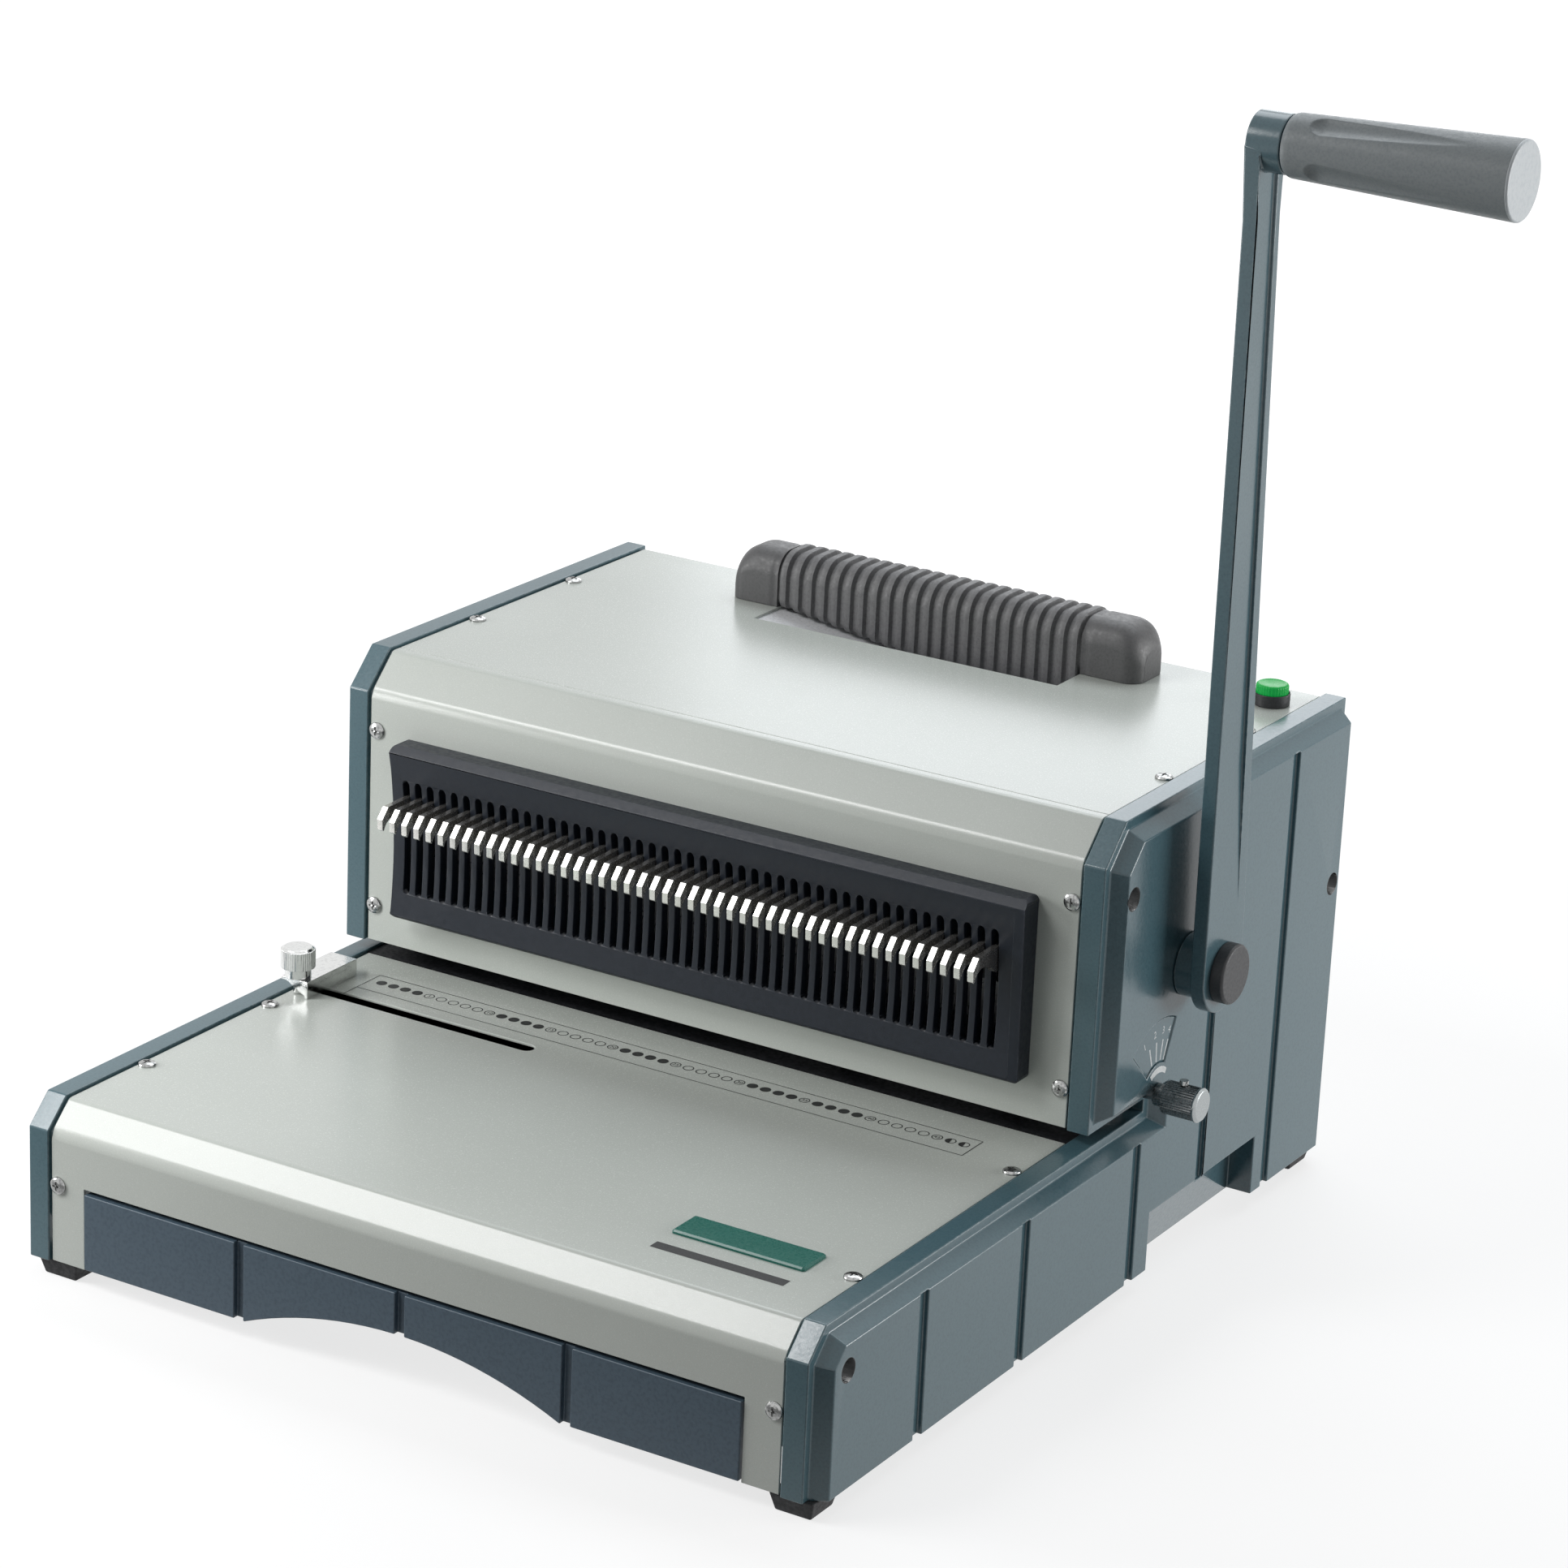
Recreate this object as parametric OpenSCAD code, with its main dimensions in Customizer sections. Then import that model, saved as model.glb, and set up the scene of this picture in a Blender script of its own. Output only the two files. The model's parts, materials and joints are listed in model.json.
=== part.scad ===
// Lever-operated punch and binding machine: a low base with a chip drawer, and a tower behind it that
// holds the row of punches, the comb panel with its hooks, and the drive from the side lever.
// X runs to the right, Y to the back and Z up, in millimetres.

/* [Body] */
// Clear width between the two side castings beyond the punch row
row_margin = 60.9; // [50:0.1:90]
// Thickness of a side casting's flange
flange_t = 10; // [8:0.5:14]
// Height of the raised pad on a side casting
pad_t = 7; // [5:0.5:10]
// Flat strip around the right side's raised pad
pad_strip = 4; // [2:0.5:5]
// Flat strip around the left side's raised pad
left_strip = 6; // [2:0.5:7]
// Width of the raised pad's bevel
pad_bevel = 4; // [2:0.5:5]
// Depth of the body from front to back
body_d = 437; // [430:1:470]
// Height of the base's top edge above the floor
base_h = 78; // [76:1:88]
// Height of the tower's top edge above the floor
tower_h = 215; // [213:1:235]
// Distance from the body's front to the tower's front
tower_y = 217; // [205:1:222]
// Chamfer on the base's front top edge
base_chamfer = 12; // [8:0.5:16]
// Chamfer on the tower's front top edge
tower_chamfer = 16; // [10:0.5:20]
// Height of the paper throat
throat_h = 5.5; // [5:0.5:8]
// Depth of the throat slot in the side castings
throat_d = 49; // [46:1:56]
// Thickness of the sheet-metal covers
sheet_t = 1.2; // [0.8:0.1:1.8]
// How far the covers lie below the castings' edges
cover_drop = 1; // [0.5:0.1:1.5]
// Height of the rubber feet
foot_h = 8; // [6:0.5:12]
// Width of the grooves in the raised pads
groove_w = 6.5; // [3:0.5:8]
// Depth of the grooves in the raised pads
groove_depth = 2; // [2:0.5:4.5]
// Depth of the hand recess in each side
recess_depth = 11.5; // [8:0.5:12]
// Radius of the heads of the cover screws
screw_head_r = 3.8; // [2.5:0.1:4]

/* [Punches and comb] */
// Number of punches, which is also the number of hooks
hole_count = 47; // [30:1:47]
// Distance from one punch to the next
hole_pitch = 6.35; // [5.5:0.05:6.35]
// Sideways offset of the row from the middle of the body
row_x = -3.2; // [-4:0.1:4]
// Diameter of the punch pins
pin_d = 4; // [3:0.1:4.4]
// Swing of the lever in degrees
lever_swing = 85; // [60:1:90]
// Height of the comb panel
panel_h = 80; // [76:1:84]
// Width of the comb panel beyond the punch row
panel_margin = 21.9; // [18:0.1:30]
// How far the comb panel stands out of the tower
panel_out = 12; // [10:0.5:14]
// Width of the slots in the comb panel
slot_w = 3.3; // [3.2:0.05:3.8]
// Length of the slots in the comb panel
slot_l = 53; // [50:0.5:56]
// Thickness of a hook
hook_t = 2.75; // [2:0.05:2.8]
// Reach of the hooks in front of the tower
hook_reach = 28; // [22:0.5:30]

/* [Lever] */
// Diameter of the main shaft
shaft_d = 14; // [10:0.5:15]
// Distance from the shaft to the grip
lever_l = 348; // [300:1:380]
// Forward lean of the lever at rest in degrees
lever_lean = 2; // [0:0.5:5]
// Thickness of the lever's arm
arm_t = 6.5; // [6:0.5:10]
// Radius of the arm's round lower end
arm_root_r = 17.5; // [14:0.5:18]
// Radius of the boss at the arm's top
arm_boss_r = 12; // [10:0.5:14]
// Length of the hub between the body and the arm
hub_l = 9.7; // [7:0.1:12]
// Length of the grip
grip_l = 97; // [80:1:120]
// Radius of the grip at its outer end
grip_r = 16; // [14:0.5:18]
// Diameter of the grip's spindle
spindle_d = 10; // [8:0.5:12]

/* [Depth knob] */
// Diameter of the knurled depth knob
knob_d = 14.8; // [12:0.1:18]
// Length of the knurled depth knob
knob_l = 16.5; // [12:0.5:20]
// Diameter of the depth shaft
depth_shaft_d = 6; // [5:0.5:6.5]
// Radius of the dial fan on the side casting
dial_r = 33; // [30:1:36]

/* [Edge guide and drawer] */
// Length of the edge guide's wall
guide_l = 36; // [30:1:42]
// Height of the edge guide's wall
guide_h = 7.6; // [5:0.2:9]
// Travel of the edge guide along its slot
guide_travel = 100; // [60:1:120]
// Diameter of the edge guide's thumb knob
thumb_d = 15.2; // [12:0.1:16]
// Width of the body that the drawer's front leaves free
drawer_margin = 37; // [33:0.5:53]
// Height of the drawer's front
drawer_h = 33.4; // [32:0.2:38]
// Height of the finger arch in the drawer's front
arch_h = 15.5; // [10:0.5:17]
// Width of the finger arch in the drawer's front
arch_w = 152; // [120:1:160]
// Length of the drawer's tray
tray_l = 230; // [180:1:240]

/* [Carry handle and button] */
// Length of the carry handle with its end caps
handle_l = 208; // [190:1:220]
// Length of the ribbed sleeve
sleeve_l = 156; // [150:1:164]
// Depth of the carry handle from front to back
handle_d = 30.5; // [26:0.5:34]
// Height of the carry handle above the tower's top
handle_h = 26; // [22:0.5:32]
// Number of ribs on the sleeve
rib_count = 23; // [15:1:27]
// Radius of the recess below the carry handle
bowl_r = 28; // [26:0.5:29]
// Radius of the push button's bezel
bezel_r = 8; // [7.5:0.1:10]
// Travel of the push button
button_travel = 3; // [2:0.5:4]

/* [Fits] */
// Radial clearance of running fits
running = 0.05; // [0.02:0.01:0.09]
// Radial clearance of fixed fits
fixed_fit = 0.02; // [0.01:0.01:0.03]
// Gap between parts that slide or lie side by side
side_gap = 0.3; // [0.2:0.05:0.5]

/* [Hidden] */
$fn = 64;

// Widths that follow the punch row
row_l = (hole_count - 1) * hole_pitch;
inner_w = row_l + row_margin;
panel_w = row_l + panel_margin;
drawer_w = inner_w - drawer_margin;

// Faces of the side castings
half_inner = inner_w / 2;
flange_x = half_inner + flange_t;
pad_x = flange_x + pad_t;
throat_top = base_h + throat_h;
throat_end = tower_y + throat_d;
table_top = base_h - cover_drop;
tower_face = tower_y + cover_drop;
roof_top = tower_h - cover_drop;
roof_under = roof_top - sheet_t;
cover_gap = 1.1;
ledge_w = 9;
ledge_t = 5;
rear_drop = 3;
rear_face = body_d - rear_drop;

// Grooves, hand recess and hollows of the side castings
base_grooves = [74, 154.6, tower_y + 32];
tower_groove_y = tower_y + 93;
rear_groove_y = body_d - 61;
recess_front = throat_end - 1;
recess_l = 98;
recess_top = foot_h + 26.8;
casting_wall = 8;

// Outline of a side casting in Y and Z, anticlockwise from its lower front corner
side_outline = [
  [0, foot_h], [body_d, foot_h], [body_d, tower_h], [tower_y + tower_chamfer, tower_h],
  [tower_y, tower_h - tower_chamfer], [tower_y, throat_top], [throat_end, throat_top],
  [throat_end, base_h], [base_chamfer, base_h], [0, base_h - base_chamfer]
];

// The raised pad's outline in three convex parts: the base, the tower and the rear that joins them.
// They start below the casting, so that the pad has no bevel along its lower edge.
function pad_outlines(strip) =
  let (low = foot_h - strip - pad_bevel)
  [
    [[0, low], [body_d, low], [body_d, base_h], [base_chamfer, base_h], [0, base_h - base_chamfer]],
    [[tower_y, throat_top], [body_d, throat_top], [body_d, tower_h], [tower_y + tower_chamfer, tower_h],
      [tower_y, tower_h - tower_chamfer]],
    [[throat_end, low], [body_d, low], [body_d, tower_h], [throat_end, tower_h]]
  ];

// Lines of the base and the tower that the covers and the ledges below them follow
ledge_stop = 20;
base_bend = [[base_chamfer, base_h], [0, base_h - base_chamfer]];
tower_bend = [[tower_y + tower_chamfer, tower_h], [tower_y, tower_h - tower_chamfer]];
base_path = concat([[tower_y + 2, base_h]], base_bend, [[0, foot_h + 0.5]]);
base_ledge_path = concat([[tower_y - 8, base_h]], base_bend, [[0, foot_h + ledge_stop]]);
cover_lip = 5.5;
lip_end = tower_y + tower_chamfer + cover_lip;
front_path = concat([[lip_end, tower_h]], tower_bend, [[tower_y, throat_top + 0.5]]);
tower_ledge_path = concat([[body_d - 40, tower_h]], tower_bend, [[tower_y, throat_top + 15]]);
rear_ledge_path = [[body_d, foot_h + ledge_stop], [body_d, tower_h - 12]];
pan_ledge_path = [[tower_y + 80, foot_h], [body_d - 12, foot_h]];

// Bolts that hold the tie rods between the side castings, in Y and Z
tie_places = [[17.6, base_h - 18.9], [tower_y + 12.9, tower_h - 30.7], [body_d - 14.5, tower_h - 80.5]];
tie_rod_r = 5;
bolt_head_r = 4.6;
bolt_shank_r = 3;
bolt_sink = 13;
bolt_head_t = 6;
bolt_grip = 9;
bolt_socket_r = 2.4;

// Screws that hold the covers
screw_x = half_inner - 4.5;
screw_shank_r = 1.5;
screw_head_h = 1.8;
screw_l = 6;
table_screws = [[-screw_x, 58.6], [-screw_x, 142.6], [screw_x, 55.4], [screw_x, 180.1]];
apron_screw_z = foot_h + 34.8;
front_screw_z = [throat_top + 17.3, tower_h - 33.2];
roof_screw_y = [tower_y + 76, tower_y + 152.5];

// Punch row, die and pin guide
row_places = [for (i = [0:hole_count - 1]) row_x - row_l / 2 + i * hole_pitch];
punch_y = tower_y + 29;
die_t = 14;
die_land = 6;
chip_relief = 0.6;
guide_bottom = throat_top + 0.7;
guide_t = 12;
guide_top = guide_bottom + guide_t;
pin_r = pin_d / 2;
pin_head_r = pin_r + 0.8;
pin_head_h = 2;

// Main shaft and the two gear drives on it
shaft_r = shaft_d / 2;
bush_r = shaft_r + 3;
bush_flange_r = shaft_r + 5;
bush_flange_t = 2;
left_bush_l = 12;
shaft_y = tower_y + 67;
shaft_z = base_h + 62.3;
swing_rad = lever_swing * PI / 180;
pressure = 20;
backlash = 0.2;
dedendum = 1.25;
punch_module = 1.5;
punch_teeth = 14;
punch_pitch_r = punch_module * punch_teeth / 2;
punch_stroke = punch_pitch_r * swing_rad;
hook_module = 2;
hook_teeth = 20;
hook_pitch_r = hook_module * hook_teeth / 2;
hook_stroke = hook_pitch_r * swing_rad;
punch_rack_x = row_l / 2 - 6.05;
hook_rack_x = row_l / 2 - 36.05;
rack_w = 10;

// Punch bar, with its rest height set by the stroke above the pin guide
bar_bottom = guide_top + punch_stroke + 1.2;
bar_t = 12;
bar_top = bar_bottom + bar_t;
clamp_t = 6;
bar_half_y = 8;
bar_half_x = half_inner - 8.5;
punch_rod_x = bar_half_x - 8;
punch_rod_r = 4;
spring_x = 60;
spring_r = 5;
spring_wire = 1.4;
spring_bar_z = tower_h - 15;
spring_bar_r = 5;

// Comb panel and hooks
panel_share = 0.3456;
panel_bottom = throat_top + panel_share * (tower_h - throat_top - panel_h);
panel_top = panel_bottom + panel_h;
panel_face = tower_face - panel_out;
slot_top = panel_top - 15;
slot_bottom = slot_top - slot_l;
hook_bar_front = tower_face + sheet_t + 2.3;
hook_bar_d = 10;
hook_bar_bottom = slot_bottom + 33.2;
hook_bar_h = 13;
hook_bar_half_x = half_inner - 10.5;
hook_rod_x = hook_bar_half_x - 6;
hook_rod_y = hook_bar_front + hook_bar_d / 2;
hook_rod_r = 3;
hook_tip_y = tower_y - hook_reach;

// Lever and grip
arm_x = pad_x + hub_l;
boss_t = arm_t + 8;
boss_x = arm_x + boss_t;
grip_end = boss_x + grip_l;
grip_base_r = grip_r - 3.2;
grip_wall = 4;
end_cap_t = 4;
end_rim = 1.4;
spindle_r = spindle_d / 2;
cap_r = 12.8;
cap_t = 6;
cap_bevel = 0.8;
lever_bolt_r = shaft_r + 1;
lever_bolt_t = 4;
spindle_end = grip_end - end_cap_t - 2;
spindle_flange_t = 2;

// Depth knob
depth_y = tower_y + 46;
depth_z = throat_top + 5.3;
depth_r = depth_shaft_d / 2;
stub_l = 5;
knob_x = pad_x + stub_l;
knob_r = knob_d / 2;
depth_end = knob_x + knob_l - 4;
pointer_x = knob_x + knob_l / 2 - 1;
pointer_r = 1.2;
stop_places = row_l * [-0.445, -0.171, 0.171, 0.445];
stop_w = 8;
dial_t = 0.5;
dial_sink = 1.2;
dial_inner_r = 13.5;
dial_fan = [45, -25];
dial_marks = [-19.5, -4.5, 10.5, 21];

// Edge guide on the table
guide_slot_y = 170.4;
guide_slot_w = 7.5;
guide_x = -half_inner + 13.3;
guide_sheet = 1.5;
guide_front = guide_slot_y - 13.1;
guide_back = guide_front + guide_l;
guide_shelf_top = table_top + side_gap + guide_h;
thumb_x = guide_x - 8;
thumb_y = guide_front + 4;
thumb_collar_r = thumb_d / 2 - 1.8;
thumb_collar_h = 4.3;
thumb_knurl_h = 9.2;
thumb_screw_r = 2;

// Drawer
drawer_bottom = foot_h + 1.1;
drawer_top = drawer_bottom + drawer_h;
drawer_t = 4.5;
tray_wall = 1.5;
tray_top = drawer_top - 1;
tray_bottom = drawer_bottom + arch_h + 1;
tray_half_x = drawer_w / 2 - 8;
tray_lip = 7.5;
runner_h = 5;

// Carry handle and its recess
handle_y = body_d - 28.2;
handle_top = roof_top + handle_h;
sleeve_half = sleeve_l / 2;
bowl_y = body_d - 34.5;
bowl_half_x = sleeve_half - 0.5;
ramp_end = 5;
ramp_z = roof_under - 13.3;
sleeve_low = roof_top - 11;
strap_w = 14;
strap_t = 6;
strap_z = roof_top + 9;
strap_half = handle_l / 2 - 6.3;

// Push button
button_x = half_inner - 13.4;
button_y = body_d - 26;
bezel_h = 5.5;
barrel_r = 6;
barrel_l = 24;
lens_r = bezel_r - 0.8;
lens_h = 9;
stem_r = 3;

// The origin lies at the middle of the whole machine's box, on the floor
box_front = cover_drop - screw_head_h;
origin_shift = [-(grip_end - pad_x) / 2, -(body_d + box_front) / 2, 0];

// Offsets of outlines: a positive distance goes to the left of the direction of travel
function left_of(a, b) = [a.y - b.y, b.x - a.x] / norm(b - a);
function meet(p, u, q, v) = p + u * (cross(q - p, v) / cross(u, v));
function corner(a, b, c, d) = meet(b + left_of(a, b) * d, b - a, b + left_of(b, c) * d, c - b);
function inset(pts, d) =
  let (n = len(pts))
  [for (i = [0:n - 1]) corner(pts[(i + n - 1) % n], pts[i], pts[(i + 1) % n], d)];
function offset_path(path, d) =
  let (last = len(path) - 1)
  [for (i = [0:last])
    i == 0 ? path[0] + left_of(path[0], path[1]) * d
    : i == last ? path[last] + left_of(path[last - 1], path[last]) * d
    : corner(path[i - 1], path[i], path[i + 1], d)];
function reversed(list) = [for (i = [len(list) - 1:-1:0]) list[i]];
function band(path, near, far) = concat(offset_path(path, near), reversed(offset_path(path, far)));

// Points of an arc from one angle to another
function polar(r, a) = r * [cos(a), sin(a)];
function arc(centre, r, from, to, steps) =
  [for (i = [0:steps]) centre + polar(r, from + (to - from) * i / steps)];

// Involute gear: half the tooth's angle at a radius, in degrees
function inv_deg(a) = tan(a) * 180 / PI - a;
function half_tooth(r, pitch_r, teeth) =
  let (base_r = pitch_r * cos(pressure))
  90 / teeth - backlash / (4 * pitch_r) * 180 / PI + inv_deg(pressure)
  - (r > base_r ? inv_deg(acos(base_r / r)) : 0);
function gear_points(module_size, teeth, first_angle) =
  let (
    pitch_r = module_size * teeth / 2,
    root_r = pitch_r - dedendum * module_size,
    tip_r = pitch_r + module_size,
    base_r = pitch_r * cos(pressure),
    start_r = max(root_r, base_r),
    radii = concat(start_r > root_r ? [root_r] : [], [for (i = [0:6]) start_r + (tip_r - start_r) * i / 6])
  )
  [for (t = [0:teeth - 1])
    let (mid = first_angle + t * 360 / teeth)
    each concat(
      [for (r = radii) polar(r, mid - half_tooth(r, pitch_r, teeth))],
      [for (r = reversed(radii)) polar(r, mid + half_tooth(r, pitch_r, teeth))]
    )];

// Rack that meshes at rest with a gear tooth at the height of the shaft: its back, then its teeth upwards
function rack_points(module_size, addendum, pitch_y, back_y, low, high) =
  let (
    pitch = PI * module_size,
    first = ceil((low - shaft_z) / pitch),
    last = floor((high - shaft_z) / pitch) - 1,
    half = pitch / 4 - backlash / 4,
    root_y = pitch_y - dedendum * module_size,
    tip_y = pitch_y + addendum,
    root_half = half + dedendum * module_size * tan(pressure),
    tip_half = half - addendum * tan(pressure)
  )
  concat(
    [[back_y, high], [back_y, low], [root_y, low]],
    [for (k = [first:last])
      let (mid = shaft_z + (k + 0.5) * pitch)
      each [[root_y, mid - root_half], [tip_y, mid - tip_half],
        [tip_y, mid + tip_half], [root_y, mid + root_half]]],
    [[root_y, high]]
  );

// Solid between two outlines of equal length, the first at x0 and the second at x1 further right
module prismatoid(first, x0, second, x1) {
  n = len(first);
  polyhedron(
    points = concat([for (p = first) [x0, p.x, p.y]], [for (p = second) [x1, p.x, p.y]]),
    faces = concat(
      [[for (i = [0:n - 1]) i]],
      [[for (i = [n - 1:-1:0]) n + i]],
      [for (i = [0:n - 1]) [i, n + i, n + (i + 1) % n, (i + 1) % n]]
    )
  );
}

// Extrusion of an outline in Y and Z along X, and of an outline in X and Z along Y
module along_x(from, to)
  translate([from, 0, 0]) rotate([90, 0, 90]) linear_extrude(to - from) children();

module along_y(from, to)
  translate([0, to, 0]) rotate([90, 0, 0]) linear_extrude(to - from) children();

// Rods along X, along Z and along Y, and a box between two corners
module rod_x(from, to, y, z, r, steps = 64)
  translate([from, y, z]) rotate([0, 90, 0]) cylinder(h = to - from, r = r, $fn = steps);

module rod_z(x, y, from, to, r)
  translate([x, y, from]) cylinder(h = to - from, r = r);

module rod_y(x, z, from, to, r)
  translate([x, from, z]) rotate([-90, 0, 0]) cylinder(h = to - from, r = r);

module block(low, high)
  translate(low) cube(high - low);

module both_sides() {
  children();
  mirror([1, 0, 0]) children();
}

module placed(tint)
  color(tint) translate(origin_shift) children();

// Rectangle with rounded corners
module rounded_square(low, high, r) {
  translate(low + [r, 0]) square([high.x - low.x - 2 * r, high.y - low.y]);
  translate(low + [0, r]) square([high.x - low.x, high.y - low.y - 2 * r]);
  for (x = [low.x + r, high.x - r], y = [low.y + r, high.y - r]) translate([x, y]) circle(r);
}

// Knurled cylinder standing on the XY plane
module knurled(r, h, ridges, depth) {
  linear_extrude(h)
    polygon([for (i = [0:2 * ridges - 1])
      (r - (i % 2) * depth) * [cos(i * 180 / ridges), sin(i * 180 / ridges)]]);
}

// Side castings
module groove(y, from, to) {
  block([pad_x - groove_depth, y - groove_w / 2, from], [pad_x + 1, y + groove_w / 2, to]);
}

module hand_recess() {
  recess_back = recess_front + recess_l;
  slope_end = recess_front + recess_l / 2;
  recess_floor = pad_x - recess_depth;
  difference() {
    block([recess_floor, recess_front, foot_h - 1], [pad_x + 1, recess_back, recess_top]);
    intersection() {
      along_y(recess_front - 1, recess_back + 1)
        polygon([[recess_floor - 1, foot_h - 1], [recess_floor, foot_h], [pad_x, recess_top],
          [recess_floor - 1, recess_top]]);
      along_x(recess_floor - 1, pad_x + 1)
        polygon([[recess_front - 1, foot_h], [recess_front - 1, recess_top], [slope_end, recess_top],
          [recess_back, foot_h]]);
    }
  }
}

module side_casting_body(strip) {
  along_x(half_inner, flange_x) polygon(side_outline);
  intersection() {
    union()
      for (part = pad_outlines(strip))
        prismatoid(inset(part, strip), flange_x, inset(part, strip + pad_bevel), pad_x);
    block([flange_x - 1, 0, foot_h], [pad_x + 1, body_d, tower_h]);
  }
  along_x(half_inner - ledge_w, half_inner) {
    cover_under = cover_drop + sheet_t;
    polygon(band(base_ledge_path, cover_under, cover_under + ledge_t));
    polygon(band(tower_ledge_path, cover_under, cover_under + ledge_t));
    polygon(band(rear_ledge_path, rear_drop + sheet_t, rear_drop + sheet_t + ledge_t));
    polygon(band(pan_ledge_path, cover_under, cover_under + ledge_t));
  }
}

// Screw holes, given for the right side or, with side -1, for the left
module screw_holes(r, side) {
  for (s = table_screws)
    if (s.x * side > 0) rod_z(screw_x, s.y, table_top - screw_l - 1, table_top + 1, r);
  for (y = roof_screw_y) rod_z(screw_x, y, roof_top - screw_l - 1, roof_top + 1, r);
  rod_y(screw_x, apron_screw_z, cover_drop - 1, cover_drop + screw_l + 1, r);
  for (z = front_screw_z) rod_y(screw_x, z, tower_face - 1, tower_face + screw_l + 1, r);
}

module side_casting(side) {
  strip = side > 0 ? pad_strip : left_strip;
  pad_edge = strip + pad_bevel;
  hollow_x = pad_x - casting_wall;
  difference() {
    side_casting_body(strip);
    for (y = base_grooves) groove(y, 0, base_h - pad_edge);
    groove(tower_groove_y, recess_top - 1, shaft_z - 10);
    groove(rear_groove_y, 0, tower_h - pad_edge);
    hand_recess();
    block([half_inner - 1, shaft_y + 21, base_h - 20], [hollow_x, body_d - 32, tower_h - 15]);
    block([half_inner - 1, 28, drawer_top + 3], [hollow_x, tower_y - 12, base_h - 12]);
    for (p = tie_places) {
      rod_x(half_inner - 1, pad_x + 1, p.x, p.y, bolt_shank_r + 0.1);
      rod_x(pad_x - bolt_sink, pad_x + 1, p.x, p.y, bolt_head_r + 0.4);
    }
    screw_holes(screw_shank_r + fixed_fit, side);
  }
}

module right_side_casting() placed("slategray")
  difference() {
    side_casting(1);
    rod_x(half_inner - 1, pad_x + 1, shaft_y, shaft_z, bush_r + fixed_fit);
    rod_x(half_inner - 1, pad_x + 1, depth_y, depth_z, depth_r + running);
    along_x(pad_x - dial_sink, pad_x + 1) dial_outline(0);
  }

module left_side_casting() placed("slategray")
  mirror([1, 0, 0])
  difference() {
    side_casting(-1);
    rod_x(half_inner - 1, half_inner + left_bush_l, shaft_y, shaft_z, bush_r + fixed_fit);
    rod_x(half_inner - 1, half_inner + 9, depth_y, depth_z, depth_r + running);
  }

// Sheet-metal covers
module cover_holes() {
  screw_holes(screw_shank_r + side_gap, 1);
  mirror([1, 0, 0]) screw_holes(screw_shank_r + side_gap, -1);
}

module table_cover() placed("gainsboro")
  difference() {
    along_x(-half_inner + cover_gap, half_inner - cover_gap)
      polygon(band(base_path, cover_drop, cover_drop + sheet_t));
    drawer_gap = 0.7;
    block([-drawer_w / 2 - drawer_gap, -1, 0], [drawer_w / 2 + drawer_gap, 10, drawer_top + 1.8]);
    slot_end = guide_x + guide_travel + 5.5;
    block([guide_x - 4, guide_slot_y - guide_slot_w / 2, table_top - 5],
      [slot_end, guide_slot_y + guide_slot_w / 2, table_top + 1]);
    rod_z(slot_end, guide_slot_y, table_top - 5, table_top + 1, guide_slot_w / 2);
    cover_holes();
  }

module front_cover() placed("gainsboro")
  difference() {
    along_x(-half_inner + cover_gap, half_inner - cover_gap)
      polygon(band(front_path, cover_drop, cover_drop + sheet_t));
    margin = 3;
    window_half = row_l / 2 + hook_t / 2 + margin;
    block([row_x - window_half, tower_y, slot_bottom - margin],
      [row_x + window_half, tower_y + 10, slot_top + margin]);
    cover_holes();
  }

module top_cover() placed("gainsboro")
  difference() {
    block([-half_inner + cover_gap, lip_end + side_gap, roof_under],
      [half_inner - cover_gap, rear_face, roof_top]);
    block([-bowl_half_x, bowl_y - bowl_r, roof_under - 1], [bowl_half_x, bowl_y + bowl_r, roof_top + 1]);
    rod_z(button_x, button_y, roof_under - 1, roof_top + 1, barrel_r + 0.1);
    cover_holes();
  }

module rear_panel() placed("gainsboro")
  difference() {
    block([-half_inner + side_gap, rear_face - sheet_t, foot_h + cover_drop],
      [half_inner - side_gap, rear_face, roof_under]);
    vent_h = 3;
    vent_half = 25;
    vent_pitch = 9;
    vent_top = tower_h - 65;
    for (row = [0:5], x = [-70, 0, 70], z = [vent_top - row * vent_pitch])
      block([x - vent_half, rear_face - 5, z], [x + vent_half, rear_face + 1, z + vent_h]);
  }

module base_pan() placed("gray")
  block([-half_inner + side_gap, tower_y + 60, foot_h + cover_drop],
    [half_inner - side_gap, rear_face - sheet_t, foot_h + cover_drop + sheet_t]);

module feet() placed("dimgray") {
  foot_half = 10;
  taper = 2;
  square_at = function (s) [[-s, -s], [s, -s], [s, s], [-s, s]];
  for (x = [-half_inner + 2.5, half_inner + 3.5], y = [12.3, body_d - 15])
    translate([x, y, 0])
      rotate([0, -90, 0])
      prismatoid(square_at(foot_half - taper), 0, square_at(foot_half), foot_h);
}

// Pan-head screw with a cross recess, its head's seat on the XY plane
module cover_screw() {
  rim_h = 0.6;
  cross_l = 4;
  cross_w = 0.8;
  cross_depth = 0.9;
  shank = [[0, -screw_l], [screw_shank_r, -screw_l], [screw_shank_r, 0]];
  rim = [[screw_head_r, 0], [screw_head_r, rim_h]];
  dome = [for (a = [20:20:90]) [screw_head_r * cos(a), rim_h + (screw_head_h - rim_h) * sin(a)]];
  difference() {
    rotate_extrude() polygon(concat(shank, rim, dome));
    for (turn = [0, 90])
      rotate([0, 0, turn])
        translate([-cross_l / 2, -cross_w / 2, screw_head_h - cross_depth])
        cube([cross_l, cross_w, cross_depth + 1]);
  }
}

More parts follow.
